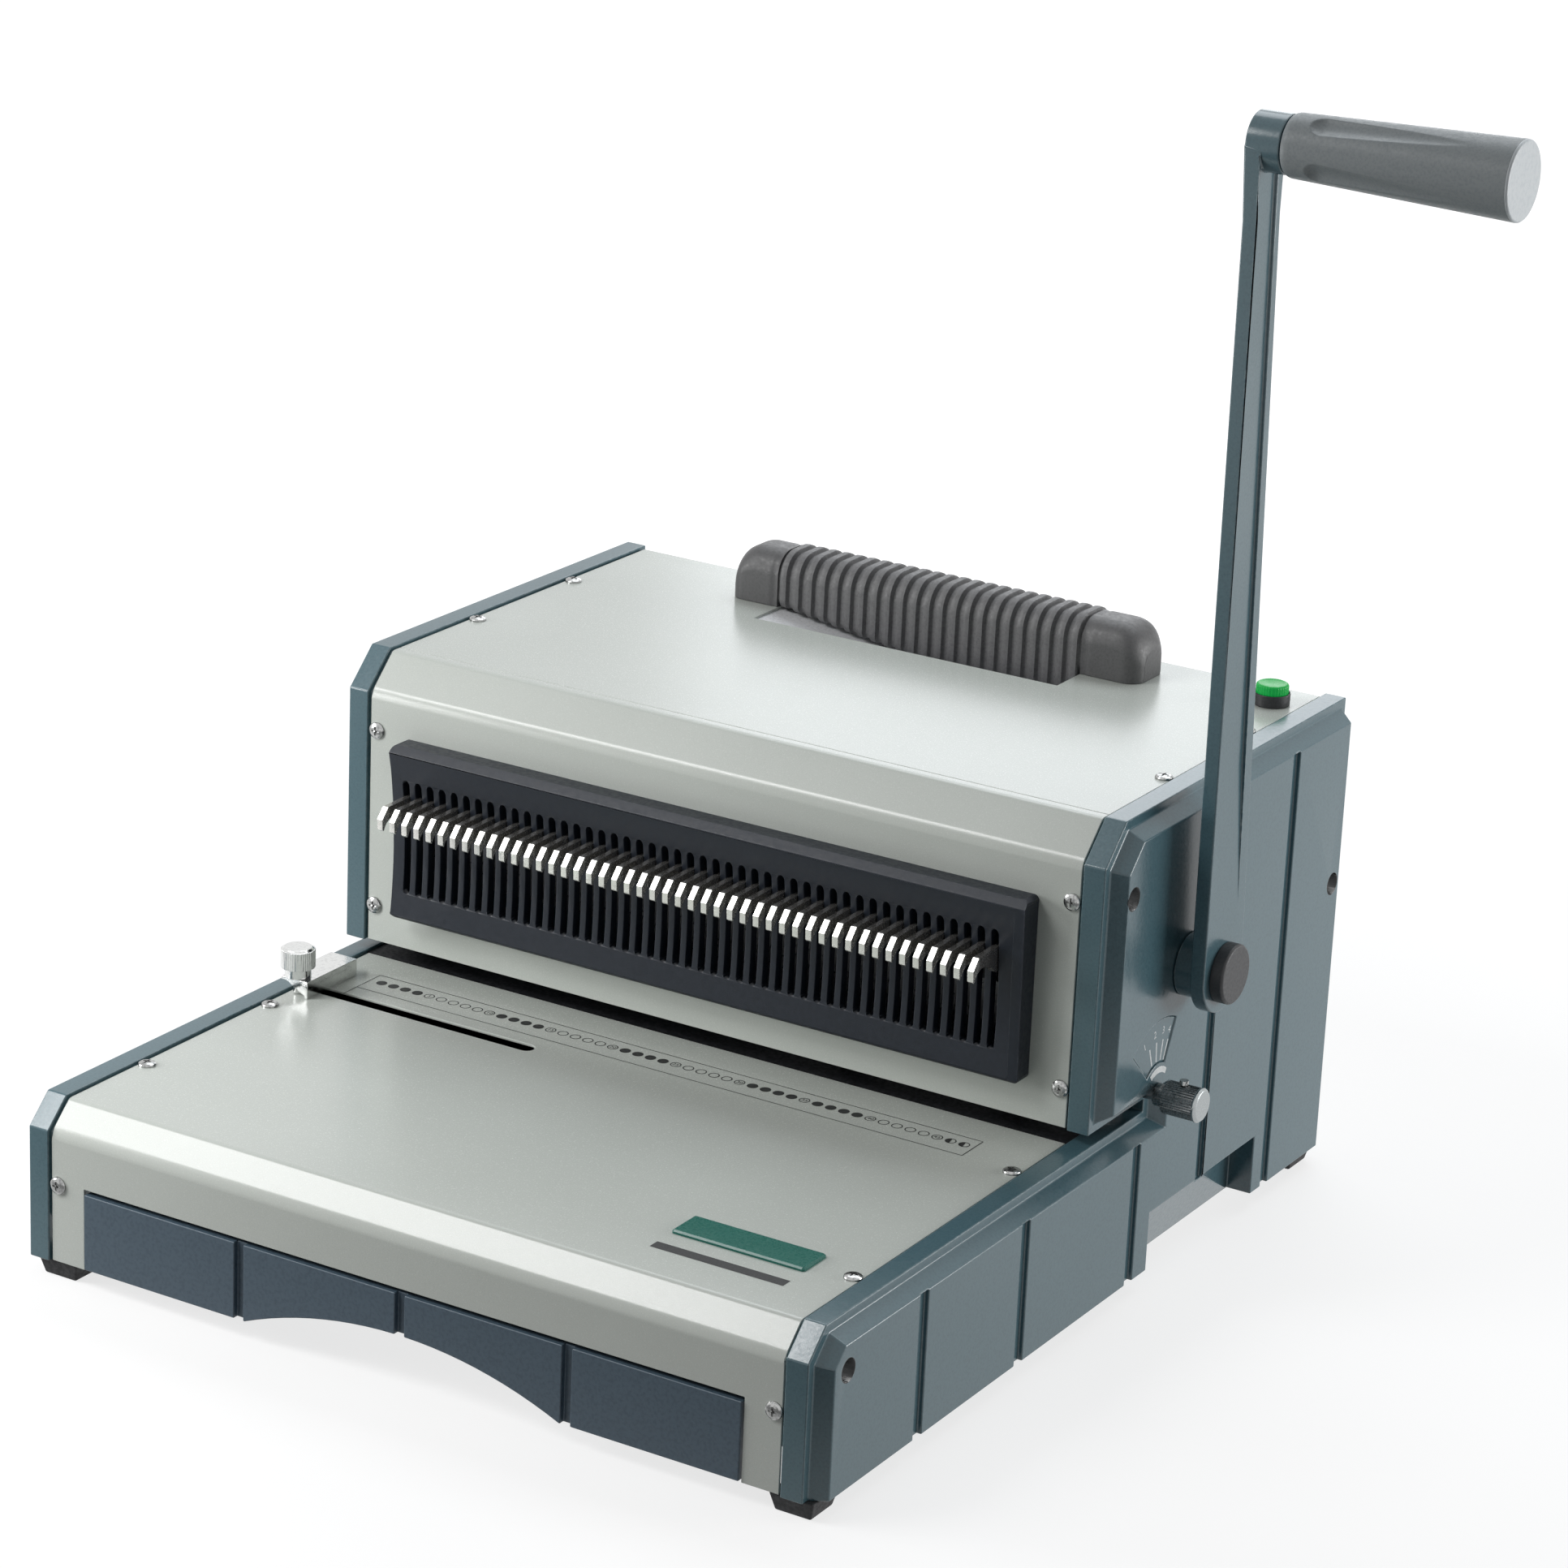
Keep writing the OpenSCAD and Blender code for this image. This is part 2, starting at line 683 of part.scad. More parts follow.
module cover_screws() placed("silver") {
  for (s = table_screws) translate([s.x, s.y, table_top]) cover_screw();
  both_sides() {
    for (y = roof_screw_y) translate([screw_x, y, roof_top]) cover_screw();
    translate([screw_x, cover_drop, apron_screw_z]) rotate([90, 0, 0]) cover_screw();
    for (z = front_screw_z) translate([screw_x, tower_face, z]) rotate([90, 0, 0]) cover_screw();
  }
}

module tie_rods() placed("silver")
  difference() {
    for (p = tie_places) rod_x(-half_inner, half_inner, p.x, p.y, tie_rod_r);
    for (p = tie_places)
      both_sides() rod_x(half_inner - bolt_grip - 1, half_inner + 1, p.x, p.y, bolt_shank_r + fixed_fit);
  }

module tie_bolts() placed("black")
  both_sides() for (p = tie_places) {
    seat = pad_x - bolt_sink;
    rod_x(half_inner - bolt_grip, seat + 0.5, p.x, p.y, bolt_shank_r);
    difference() {
      rod_x(seat, seat + bolt_head_t, p.x, p.y, bolt_head_r);
      rod_x(seat + bolt_head_t / 2, pad_x, p.x, p.y, bolt_socket_r, 6);
    }
  }

module badge_plate() placed("seagreen") {
  badge = [66, 17];
  translate([half_inner - 55.2, 57.4, table_top])
    linear_extrude(0.8)
    rounded_square(-badge / 2, badge / 2, 1);
}

// Fan sunk in the right pad, with a raised mark for each depth
module dial_outline(shrink) {
  turn = 2 * shrink;
  from = 90 + dial_fan[0] - turn;
  to = 90 + dial_fan[1] + turn;
  polygon(concat(arc([depth_y, depth_z], dial_r - shrink, from, to, 14),
    arc([depth_y, depth_z], dial_inner_r + shrink, to, from, 14)));
}

module depth_dial() placed("slategray") {
  mark_w = 1;
  mark_l = 10;
  mark_h = 0.4;
  dial_face = pad_x - dial_sink + dial_t;
  along_x(pad_x - dial_sink, dial_face) dial_outline(side_gap);
  for (a = dial_marks)
    translate([dial_face - 0.1, depth_y, depth_z])
      rotate([-a, 0, 0])
      translate([0, -mark_w / 2, dial_inner_r + 2])
      cube([mark_h + 0.1, mark_w, mark_l]);
}

// Comb panel, its face slightly hollow, with a slot for each hook
module comb_panel() placed("darkslategray") {
  hollow_depth = 3.2;
  low_bevel = 1.5;
  low_set_back = 2.4;
  top_bevel = 3.2;
  corner_r = 2.5;
  face_h = panel_h - 3;
  hollow_r = (face_h * face_h / 4 + hollow_depth * hollow_depth) / (2 * hollow_depth);
  wall = 3.2;
  difference() {
    intersection() {
      along_x(-panel_w / 2, panel_w / 2)
        polygon([[tower_face, panel_bottom], [panel_face + low_set_back + low_bevel, panel_bottom],
          [panel_face + low_set_back, panel_bottom + low_bevel], [panel_face, panel_top - top_bevel],
          [panel_face + top_bevel, panel_top], [tower_face, panel_top]]);
      along_y(panel_face - 1, tower_face)
        rounded_square([-panel_w / 2, panel_bottom], [panel_w / 2, panel_top], corner_r);
    }
    hollow_y = panel_face + low_set_back / 2 + hollow_depth - hollow_r;
    hollow_z = panel_bottom + face_h / 2 - hollow_r * low_set_back / face_h;
    rod_x(-panel_w, panel_w / 2 - 5, hollow_y, hollow_z, hollow_r, 720);
    block([-panel_w / 2 + wall, panel_face + low_set_back + hollow_depth + wall, panel_bottom + wall],
      [panel_w / 2 - wall, tower_face + 1, panel_top - wall]);
    for (x = row_places)
      along_y(panel_face - 1, tower_face + 1) {
        translate([x - slot_w / 2, slot_bottom + slot_w / 2]) square([slot_w, slot_l - slot_w]);
        for (z = [slot_bottom + slot_w / 2, slot_top - slot_w / 2]) translate([x, z]) circle(slot_w / 2);
      }
  }
}

// Die, pin guide and the rods that stand on it
module die_plate() placed("lightsteelblue")
  difference() {
    block([-half_inner, tower_y + 2.3, table_top - die_t], [half_inner, punch_y + 6.5, table_top]);
    for (x = row_places) {
      rod_z(x, punch_y, table_top - die_t - 1, table_top + 1, pin_r + running);
      rod_z(x, punch_y, table_top - die_t - 1, table_top - die_land, pin_r + chip_relief);
    }
  }

module pin_guide_plate() placed("lightsteelblue")
  difference() {
    block([-half_inner, tower_face + sheet_t + 0.3, guide_bottom], [half_inner, punch_y + 5, guide_top]);
    for (x = row_places) rod_z(x, punch_y, guide_bottom - 1, guide_top + 1, pin_r + running);
    both_sides() {
      rod_z(punch_rod_x, punch_y, guide_bottom + 1, guide_top + 1, punch_rod_r + fixed_fit);
      rod_z(hook_rod_x, hook_rod_y, guide_bottom + 1, guide_top + 1, hook_rod_r + fixed_fit);
    }
  }

module punch_guide_rods() placed("silver")
  both_sides() rod_z(punch_rod_x, punch_y, guide_bottom + 1, bar_top + 24, punch_rod_r);

module hook_guide_rods() placed("silver") {
  rod_top = tie_places[1].y - tie_rod_r - side_gap;
  both_sides() rod_z(hook_rod_x, hook_rod_y, guide_bottom + 1, rod_top, hook_rod_r);
}

module spring_bar() placed("silver")
  rod_x(-half_inner, half_inner, punch_y, spring_bar_z, spring_bar_r);

module return_springs() placed("silver")
  both_sides() difference() {
    rod_z(spring_x, punch_y, bar_top + clamp_t, spring_bar_z - spring_bar_r - 0.1, spring_r);
    rod_z(spring_x, punch_y, bar_top + clamp_t - 1, spring_bar_z, spring_r - spring_wire);
  }

module shaft_bushes() placed("peru")
  difference() {
    union() {
      both_sides() rod_x(half_inner - bush_flange_t, half_inner, shaft_y, shaft_z, bush_flange_r);
      rod_x(half_inner, pad_x, shaft_y, shaft_z, bush_r);
      rod_x(-half_inner - left_bush_l, -half_inner, shaft_y, shaft_z, bush_r);
    }
    rod_x(-pad_x, pad_x + 1, shaft_y, shaft_z, shaft_r + running);
  }

module drawer_runners() placed("silver")
  both_sides()
    block([tray_half_x + 2.5, 24, tray_top - tray_wall - side_gap - runner_h],
      [half_inner, tray_l + 20, tray_top - tray_wall - side_gap]);

// Carry handle over its recess in the top cover: a ramp from the left that ends in a deep bowl
module recess_space(wall) {
  rod_x(ramp_end - wall, bowl_half_x + wall, bowl_y, roof_under, bowl_r + wall);
  along_y(bowl_y - bowl_r - wall, bowl_y + bowl_r + wall)
    polygon([[-bowl_half_x - wall, roof_under + 1], [-bowl_half_x - wall, roof_under - wall],
      [ramp_end + 1, ramp_z - wall], [ramp_end + 1, roof_under + 1]]);
}

module handle_recess() placed("gainsboro")
  intersection() {
    difference() {
      recess_space(sheet_t);
      recess_space(0);
    }
    block([-half_inner, 0, 0], [half_inner, body_d, roof_under]);
  }

module handle_section(shrink)
  rounded_square([handle_y - handle_d / 2 + shrink, roof_top - 14 + shrink],
    [handle_y + handle_d / 2 - shrink, handle_top - shrink], 11);

// Room inside the handle for the strap
module strap_space() {
  room = 0.2;
  block([-strap_half - side_gap, handle_y - strap_w / 2 - room, strap_z - room],
    [strap_half + side_gap, handle_y + strap_w / 2 + room, strap_z + strap_t + room]);
}

module handle_sleeve() placed("dimgray") {
  rib_pitch = sleeve_l / rib_count;
  rib_depth = 1.4;
  difference() {
    intersection() {
      union() {
        along_x(-sleeve_half, sleeve_half) handle_section(rib_depth);
        for (i = [0:rib_count - 1])
          translate([-sleeve_half + i * rib_pitch, 0, 0])
            along_x(0.2 * rib_pitch, 0.8 * rib_pitch) handle_section(0);
      }
      along_y(0, body_d)
        polygon([[-sleeve_half, roof_top + side_gap], [0, sleeve_low], [bowl_half_x - 1, sleeve_low],
          [bowl_half_x - 1, roof_top + side_gap], [sleeve_half, roof_top + side_gap],
          [sleeve_half, handle_top + 1], [-sleeve_half, handle_top + 1]]);
    }
    strap_space();
  }
}

module handle_caps() placed("dimgray")
  both_sides() difference() {
    intersection() {
      along_x(sleeve_half, handle_l / 2) handle_section(0.8);
      along_y(0, body_d) {
        end_r = 13;
        block_w = handle_l / 2 - sleeve_half - end_r;
        translate([sleeve_half, roof_top]) square([block_w, handle_h]);
        translate([sleeve_half, roof_top]) square([block_w + end_r, handle_h - end_r]);
        translate([handle_l / 2 - end_r, handle_top - end_r]) circle(end_r);
      }
    }
    strap_space();
  }

module handle_strap() placed("silver")
  block([-strap_half, handle_y - strap_w / 2, strap_z],
    [strap_half, handle_y + strap_w / 2, strap_z + strap_t]);

// Push button in the top cover
module button_bezel() placed("black")
  difference() {
    union() {
      rod_z(button_x, button_y, roof_top, roof_top + bezel_h, bezel_r);
      rod_z(button_x, button_y, roof_top - barrel_l, roof_top, barrel_r);
    }
    rod_z(button_x, button_y, roof_top + 0.3, roof_top + bezel_h + 1, lens_r + side_gap);
    rod_z(button_x, button_y, roof_top - barrel_l - 1, roof_top + 1, stem_r + running);
  }

module button_nut() placed("black")
  difference() {
    nut_t = 3;
    translate([button_x, button_y, roof_under - nut_t]) cylinder(h = nut_t, r = barrel_r + 3.5, $fn = 6);
    rod_z(button_x, button_y, roof_under - nut_t - 1, roof_under + 1, barrel_r + fixed_fit);
  }

module button_switch() placed("black") {
  switch_half = 7;
  switch_h = 14;
  block([button_x - switch_half, button_y - switch_half, roof_top - barrel_l - switch_h],
    [button_x + switch_half, button_y + switch_half, roof_top - barrel_l]);
}

module button_lens() placed("limegreen") {
  over_travel = 0.5;
  seat = roof_top + over_travel + button_travel;
  lens_top = seat + lens_h - button_travel;
  bevel = 0.8;
  translate([button_x, button_y, 0])
    rotate_extrude()
    polygon([[0, seat], [lens_r, seat], [lens_r, lens_top - bevel], [lens_r - bevel, lens_top],
      [0, lens_top]]);
  rod_z(button_x, button_y, roof_top - barrel_l + button_travel + over_travel, seat + 1, stem_r);
}

// Main shaft and what turns with it
module main_shaft() placed("silver")
  rod_x(-half_inner - left_bush_l + 2, arm_x + arm_t, shaft_y, shaft_z, shaft_r);

module shaft_collars() placed("silver")
  difference() {
    collar_end = half_inner - bush_flange_t - side_gap;
    both_sides() rod_x(collar_end - 7.7, collar_end, shaft_y, shaft_z, shaft_r + 4);
    rod_x(-half_inner, half_inner, shaft_y, shaft_z, shaft_r + fixed_fit);
  }

module gear_pair(x, points) {
  both_sides() difference() {
    translate([0, shaft_y, shaft_z]) along_x(x - rack_w / 2 - 1, x + rack_w / 2 + 1) polygon(points);
    rod_x(0, half_inner, shaft_y, shaft_z, shaft_r + fixed_fit);
  }
}

module punch_pinions() placed("gray")
  gear_pair(punch_rack_x, gear_points(punch_module, punch_teeth, 180));

module hook_pinions() placed("gray")
  gear_pair(hook_rack_x, gear_points(hook_module, hook_teeth, 180));

module lever_hub() placed("slategray")
  difference() {
    rod_x(pad_x + 0.5, arm_x, shaft_y, shaft_z, arm_root_r - 4);
    rod_x(pad_x, arm_x + 1, shaft_y, shaft_z, shaft_r + fixed_fit);
  }

// Frame whose Z axis runs along the lever from the shaft
module lever_frame()
  translate([0, shaft_y, shaft_z]) rotate([lever_lean, 0, 0]) children();

module lever_arm() placed("slategray") {
  neck = 10.3;
  neck_z = lever_l - 30;
  channel_depth = 1.5;
  channel_low = 28;
  channel_high = lever_l - 9;
  channel_fade = 60;
  front_rib = 1.2;
  rear_share = 0.58;
  arm_face = arm_x + arm_t;
  low_half = arm_root_r + (neck - arm_root_r) * channel_low / neck_z;
  lever_frame() difference() {
    union() {
      along_x(arm_x, arm_face) {
        circle(arm_root_r);
        polygon([[-arm_root_r, 0], [arm_root_r, 0], [neck, neck_z], [arm_boss_r, lever_l],
          [-arm_boss_r, lever_l], [-neck, neck_z]]);
      }
      rod_x(arm_x, boss_x, 0, lever_l, arm_boss_r);
    }
    intersection() {
      along_x(arm_x, arm_face + 1)
        polygon([[front_rib - low_half, channel_low], [low_half * rear_share, channel_low],
          [neck * rear_share, neck_z], [neck * rear_share, channel_high], [front_rib - neck, channel_high],
          [front_rib - neck, neck_z]]);
      along_y(-arm_root_r, arm_root_r)
        polygon([[arm_face, channel_low], [arm_face + 1, channel_low], [arm_face + 1, lever_l],
          [arm_face - channel_depth, lever_l], [arm_face - channel_depth, channel_low + channel_fade]]);
      difference() {
        block([arm_x, -arm_root_r, 0], [arm_x + boss_t, arm_root_r, lever_l]);
        rod_x(arm_x - 1, boss_x + 1, 0, lever_l, arm_boss_r);
      }
    }
    rod_x(arm_x - 1, boss_x + 1, 0, 0, shaft_r + fixed_fit);
    rod_x(arm_x - 1, boss_x + 1, 0, lever_l, spindle_r + fixed_fit);
  }
}

module lever_cap() placed("black")
  difference() {
    translate([arm_x + arm_t, shaft_y, shaft_z])
      rotate([0, 90, 0])
      rotate_extrude()
      polygon([[0, 0], [cap_r, 0], [cap_r, cap_t - cap_bevel], [cap_r - cap_bevel, cap_t], [0, cap_t]]);
    bolt_room = arm_x + arm_t + lever_bolt_t + side_gap;
    rod_x(arm_x + arm_t - 1, bolt_room, shaft_y, shaft_z, lever_bolt_r + side_gap);
  }

module lever_bolt() placed("silver")
  rod_x(arm_x + arm_t, arm_x + arm_t + lever_bolt_t, shaft_y, shaft_z, lever_bolt_r);

module grip_spindle() placed("silver")
  lever_frame() {
    rod_x(arm_x, spindle_end - spindle_flange_t, 0, lever_l, spindle_r);
    rod_x(spindle_end - spindle_flange_t, spindle_end, 0, lever_l, spindle_r + 2);
  }

// Grip that turns on its spindle, fluted along its length
module lever_grip() placed("gray") {
  flute_turn = 11.5;
  lever_frame() translate([0, 0, lever_l]) rotate([-flute_turn, 0, 0]) difference() {
    shoulder = 1.5;
    start = boss_x + side_gap;
    body_end = grip_end - end_rim;
    bore_end = spindle_end - spindle_flange_t - side_gap;
    bore_r = spindle_r + running;
    rotate([0, 90, 0]) rotate_extrude() polygon([
      [bore_r, start], [grip_base_r - shoulder, start], [grip_base_r, start + shoulder * 2],
      [grip_r, body_end], [grip_r - grip_wall, body_end], [grip_r - grip_wall, bore_end],
      [bore_r, bore_end]]);
    flute_r = 9;
    flute_depth = 2;
    flute_from = 16;
    fade = 0.6 * grip_l;
    rise = atan((grip_r - grip_base_r) / (body_end - start)) + atan(flute_depth / fade);
    for (turn = [45, 135, 225, 315])
      rotate([turn, 0, 0])
        translate([start + flute_from, 0, grip_base_r + 0.45 - flute_depth + flute_r]) {
          sphere(flute_r - 0.1);
          rotate([0, 90 - rise, 0]) cylinder(h = grip_l, r = flute_r);
        }
  }
}

module grip_end_cap() placed("white")
  lever_frame() translate([grip_end - end_cap_t, 0, lever_l]) rotate([0, 90, 0]) rotate_extrude() {
    bevel = 0.7;
    plug_r = grip_r - grip_wall - side_gap;
    plug_end = end_cap_t - end_rim;
    polygon([[0, 0], [plug_r, 0], [plug_r, plug_end], [grip_r, plug_end], [grip_r, end_cap_t - bevel],
      [grip_r - bevel, end_cap_t], [0, end_cap_t]]);
  }

// Punch bar and what slides with it
module punch_bar() placed("gray")
  difference() {
    block([-bar_half_x, punch_y - bar_half_y, bar_bottom], [bar_half_x, punch_y + bar_half_y, bar_top]);
    for (x = row_places) rod_z(x, punch_y, bar_bottom - 1, bar_top + 1, pin_r + fixed_fit);
    both_sides() rod_z(punch_rod_x, punch_y, bar_bottom - 1, bar_top + 1, punch_rod_r + running);
  }

module punch_pins() placed("silver")
  for (x = row_places) {
    rod_z(x, punch_y, guide_bottom + 1, bar_top, pin_r);
    rod_z(x, punch_y, bar_top, bar_top + pin_head_h, pin_head_r);
  }

module pin_clamp_bar() placed("gray")
  difference() {
    clamp_half_x = bar_half_x - 20;
    block([-clamp_half_x, punch_y - bar_half_y, bar_top],
      [clamp_half_x, punch_y + bar_half_y, bar_top + clamp_t]);
    for (x = row_places) rod_z(x, punch_y, bar_top - 1, bar_top + pin_head_h, pin_head_r + fixed_fit);
  }

module punch_racks() placed("gray")
  both_sides()
    along_x(punch_rack_x - rack_w / 2, punch_rack_x + rack_w / 2)
    polygon(rack_points(punch_module, 0.7 * punch_module, shaft_y - punch_pitch_r, punch_y + bar_half_y,
      bar_bottom, shaft_z + punch_stroke + 3 * punch_module));

// Hook bar and what slides with it
module hook_bar() placed("gray")
  difference() {
    hook_bar_top = hook_bar_bottom + hook_bar_h;
    block([-hook_bar_half_x, hook_bar_front, hook_bar_bottom],
      [hook_bar_half_x, hook_bar_front + hook_bar_d, hook_bar_top]);
    both_sides() rod_z(hook_rod_x, hook_rod_y, hook_bar_bottom - 1, hook_bar_top + 1, hook_rod_r + running);
  }

module hook_racks() placed("gray")
  both_sides() along_x(hook_rack_x - rack_w / 2, hook_rack_x + rack_w / 2) {
    rack_root = shaft_y - hook_pitch_r - dedendum * hook_module;
    polygon(rack_points(hook_module, 0.9 * hook_module, shaft_y - hook_pitch_r, rack_root - 6,
      shaft_z - 3.5 * hook_module, shaft_z + hook_stroke + 3.5 * hook_module));
    translate([hook_bar_front + hook_bar_d, hook_bar_bottom + 3])
      square([rack_root - 3 - hook_bar_front - hook_bar_d, hook_bar_h - 4]);
  }

module comb_hooks() placed("silver") {
  top = hook_bar_bottom + hook_bar_h - 0.6;
  front = hook_tip_y;
  back = hook_bar_front;
  lobe = [tower_y - 7, top - 6.3];
  for (x = row_places)
    along_x(x - hook_t / 2, x + hook_t / 2)
      polygon(concat(
        [[back, top - 9.5], [back, top], [front + 4.4, top - 0.5], [front + 0.2, top - 5.2],
          [front + 0.5, top - 9.8], [front + 1.4, top - 10.6]],
        arc([front + 8.2, top - 12.6], 6.9, 163, 60, 6),
        arc(lobe, 5, 205, 290, 6)));
}

// Depth knob and the stops on its shaft
module depth_knob() placed("silver")
  difference() {
    rim_t = 2;
    union() {
      rod_x(pad_x + side_gap, knob_x + 1, depth_y, depth_z, knob_r - 2.6);
      translate([knob_x, depth_y, depth_z])
        rotate([0, 90, 0])
        knurled(knob_r - 0.2, knob_l - rim_t, 40, 0.35);
      translate([knob_x + knob_l - rim_t, depth_y, depth_z])
        rotate([0, 90, 0])
        rotate_extrude()
        polygon([[0, 0], [knob_r, 0], [knob_r, rim_t / 2], [knob_r - rim_t / 2, rim_t], [0, rim_t]]);
    }
    rod_x(pad_x, depth_end, depth_y, depth_z, depth_r + fixed_fit);
    rod_z(pointer_x, depth_y, depth_z + depth_r + pointer_r, depth_z + knob_r + 1, pointer_r + fixed_fit);
  }

module pointer_screw() placed("silver") {
  rod_z(pointer_x, depth_y, depth_z + depth_r + pointer_r, depth_z + knob_r, pointer_r);
  rod_z(pointer_x, depth_y, depth_z + knob_r, depth_z + knob_r + 1.8, pointer_r + 0.7);
}

module depth_shaft() placed("silver")
  rod_x(-half_inner - 8, depth_end, depth_y, depth_z, depth_r);

module paper_stops() placed("silver")
  difference() {
    for (x = stop_places) {
      rod_x(x - stop_w / 2, x + stop_w / 2, depth_y, depth_z, depth_r + 3);
      along_x(x - stop_w / 2, x + stop_w / 2)
        translate([depth_y, depth_z])
        polygon([[-9, -throat_h], [-9, -12.2], [-4.5, -12.2], [4, -4], [-4, 4]]);
    }
    rod_x(-half_inner, half_inner, depth_y, depth_z, depth_r + fixed_fit);
  }

// Edge guide: a wall along the paper's edge, a shelf for its thumb knob and a tongue in the table's slot
module edge_guide() placed("silver")
  difference() {
    shelf_x = guide_x - 14;
    wall_x = guide_x - guide_sheet;
    wall_bottom = table_top + side_gap;
    tongue_half = guide_slot_w / 2 - side_gap;
    union() {
      block([wall_x, guide_front, wall_bottom], [guide_x, guide_back, guide_shelf_top]);
      block([shelf_x, guide_front, guide_shelf_top - guide_sheet], [guide_x, guide_back, guide_shelf_top]);
      along_y(guide_front, guide_front + guide_sheet)
        polygon([[shelf_x, guide_shelf_top], [guide_x, wall_bottom], [guide_x, guide_shelf_top]]);
      block([wall_x, guide_slot_y - tongue_half, table_top - sheet_t - side_gap],
        [guide_x, guide_slot_y + tongue_half, wall_bottom + 1]);
    }
    rod_z(thumb_x, thumb_y, table_top, guide_shelf_top + 1, thumb_screw_r + running);
  }

module guide_slider() placed("silver") {
  slider = [10, 12, 2.5];
  slider_top = table_top - sheet_t - side_gap;
  block([guide_x - 3.5, guide_slot_y - slider.y / 2, slider_top - slider.z],
    [guide_x - 3.5 + slider.x, guide_slot_y + slider.y / 2, slider_top]);
}

module guide_knob() placed("silver")
  translate([thumb_x, thumb_y, guide_shelf_top + side_gap]) {
    crown_h = 1;
    crown_r = thumb_d / 2 - 0.6;
    cylinder(h = thumb_collar_h, r = thumb_collar_r);
    translate([0, 0, thumb_collar_h]) knurled(thumb_d / 2, thumb_knurl_h - crown_h, 48, 0.3);
    translate([0, 0, thumb_collar_h + thumb_knurl_h - crown_h])
      rotate_extrude()
      polygon([[0, 0], [crown_r, 0], [crown_r - crown_h, crown_h], [0, crown_h]]);
    translate([0, 0, -guide_h]) cylinder(h = guide_h, r = thumb_screw_r);
  }

// Chip drawer
module drawer_front() placed("slategray") {
  arch_r = (arch_w * arch_w / 4 + arch_h * arch_h) / (2 * arch_h);
  line_w = 4.5;
  line_depth = 2.5;
  difference() {
    block([-drawer_w / 2, 0, drawer_bottom], [drawer_w / 2, drawer_t, drawer_top]);
    along_y(-1, drawer_t + 1) translate([0, drawer_bottom + arch_h - arch_r]) circle(arch_r, $fn = 200);
    for (i = [-1:1])
      translate([i * drawer_w / 4, 0, 0])
        block([-line_w / 2, -1, 0], [line_w / 2, line_depth, drawer_top + 1]);
  }
}

module drawer_tray() placed("gray") {
  difference() {
    union() {
      block([-tray_half_x, drawer_t, tray_bottom], [tray_half_x, drawer_t + tray_l, tray_top]);
      block([-tray_half_x - tray_lip, drawer_t, tray_top - tray_wall],
        [tray_half_x + tray_lip, drawer_t + tray_l, tray_top]);
    }
    block([-tray_half_x + tray_wall, drawer_t + tray_wall, tray_bottom + tray_wall],
      [tray_half_x - tray_wall, drawer_t + tray_l - tray_wall, tray_top + 1]);
  }
}

left_side_casting();
right_side_casting();
table_cover();
front_cover();
top_cover();
rear_panel();
base_pan();
feet();
cover_screws();
tie_rods();
tie_bolts();
badge_plate();
depth_dial();
comb_panel();
die_plate();
pin_guide_plate();
punch_guide_rods();
hook_guide_rods();
spring_bar();
return_springs();
shaft_bushes();
drawer_runners();
handle_recess();
handle_caps();
handle_sleeve();
handle_strap();
button_bezel();
button_nut();
button_switch();
button_lens();
main_shaft();
shaft_collars();
punch_pinions();
hook_pinions();
lever_hub();
lever_arm();
lever_cap();
lever_bolt();
grip_spindle();
lever_grip();
grip_end_cap();
punch_bar();
punch_racks();
punch_pins();
pin_clamp_bar();
hook_bar();
hook_racks();
comb_hooks();
depth_knob();
pointer_screw();
depth_shaft();
paper_stops();
edge_guide();
guide_slider();
guide_knob();
drawer_front();
drawer_tray();
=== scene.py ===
"""Desk binding machine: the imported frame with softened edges, finer pieces, materials, studio and camera."""
import json
import math

import bmesh
import bpy
from mathutils import Matrix, Vector

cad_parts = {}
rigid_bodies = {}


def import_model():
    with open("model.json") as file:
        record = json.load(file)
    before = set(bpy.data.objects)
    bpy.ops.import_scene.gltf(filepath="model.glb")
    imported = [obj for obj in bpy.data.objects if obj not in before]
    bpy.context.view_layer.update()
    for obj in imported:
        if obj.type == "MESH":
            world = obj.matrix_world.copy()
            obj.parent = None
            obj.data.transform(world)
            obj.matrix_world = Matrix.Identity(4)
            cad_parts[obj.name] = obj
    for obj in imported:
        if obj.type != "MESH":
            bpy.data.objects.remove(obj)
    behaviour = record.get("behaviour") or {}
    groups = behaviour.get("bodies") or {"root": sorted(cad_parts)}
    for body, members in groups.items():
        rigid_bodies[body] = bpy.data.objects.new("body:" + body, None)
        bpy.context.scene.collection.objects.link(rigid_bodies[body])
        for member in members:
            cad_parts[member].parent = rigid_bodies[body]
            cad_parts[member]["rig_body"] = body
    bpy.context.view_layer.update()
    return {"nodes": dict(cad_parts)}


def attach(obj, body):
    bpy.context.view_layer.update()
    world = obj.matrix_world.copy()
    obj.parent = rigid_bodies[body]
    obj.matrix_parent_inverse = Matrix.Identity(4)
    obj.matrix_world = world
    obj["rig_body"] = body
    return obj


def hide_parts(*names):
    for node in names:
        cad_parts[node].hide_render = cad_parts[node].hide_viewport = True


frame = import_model()
nodes = frame["nodes"]
scene = bpy.context.scene

X, Y, Z = Vector((1, 0, 0)), Vector((0, 1, 0)), Vector((0, 0, 1))

# The CAD source's own frame, in millimetres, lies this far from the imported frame
SHIFT = Vector((-60.6, -218.1, 0.0))


def at(x, y, z):
    """A point of the CAD source, in millimetres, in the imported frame, in metres."""
    return (Vector((x, y, z)) + SHIFT) / 1000


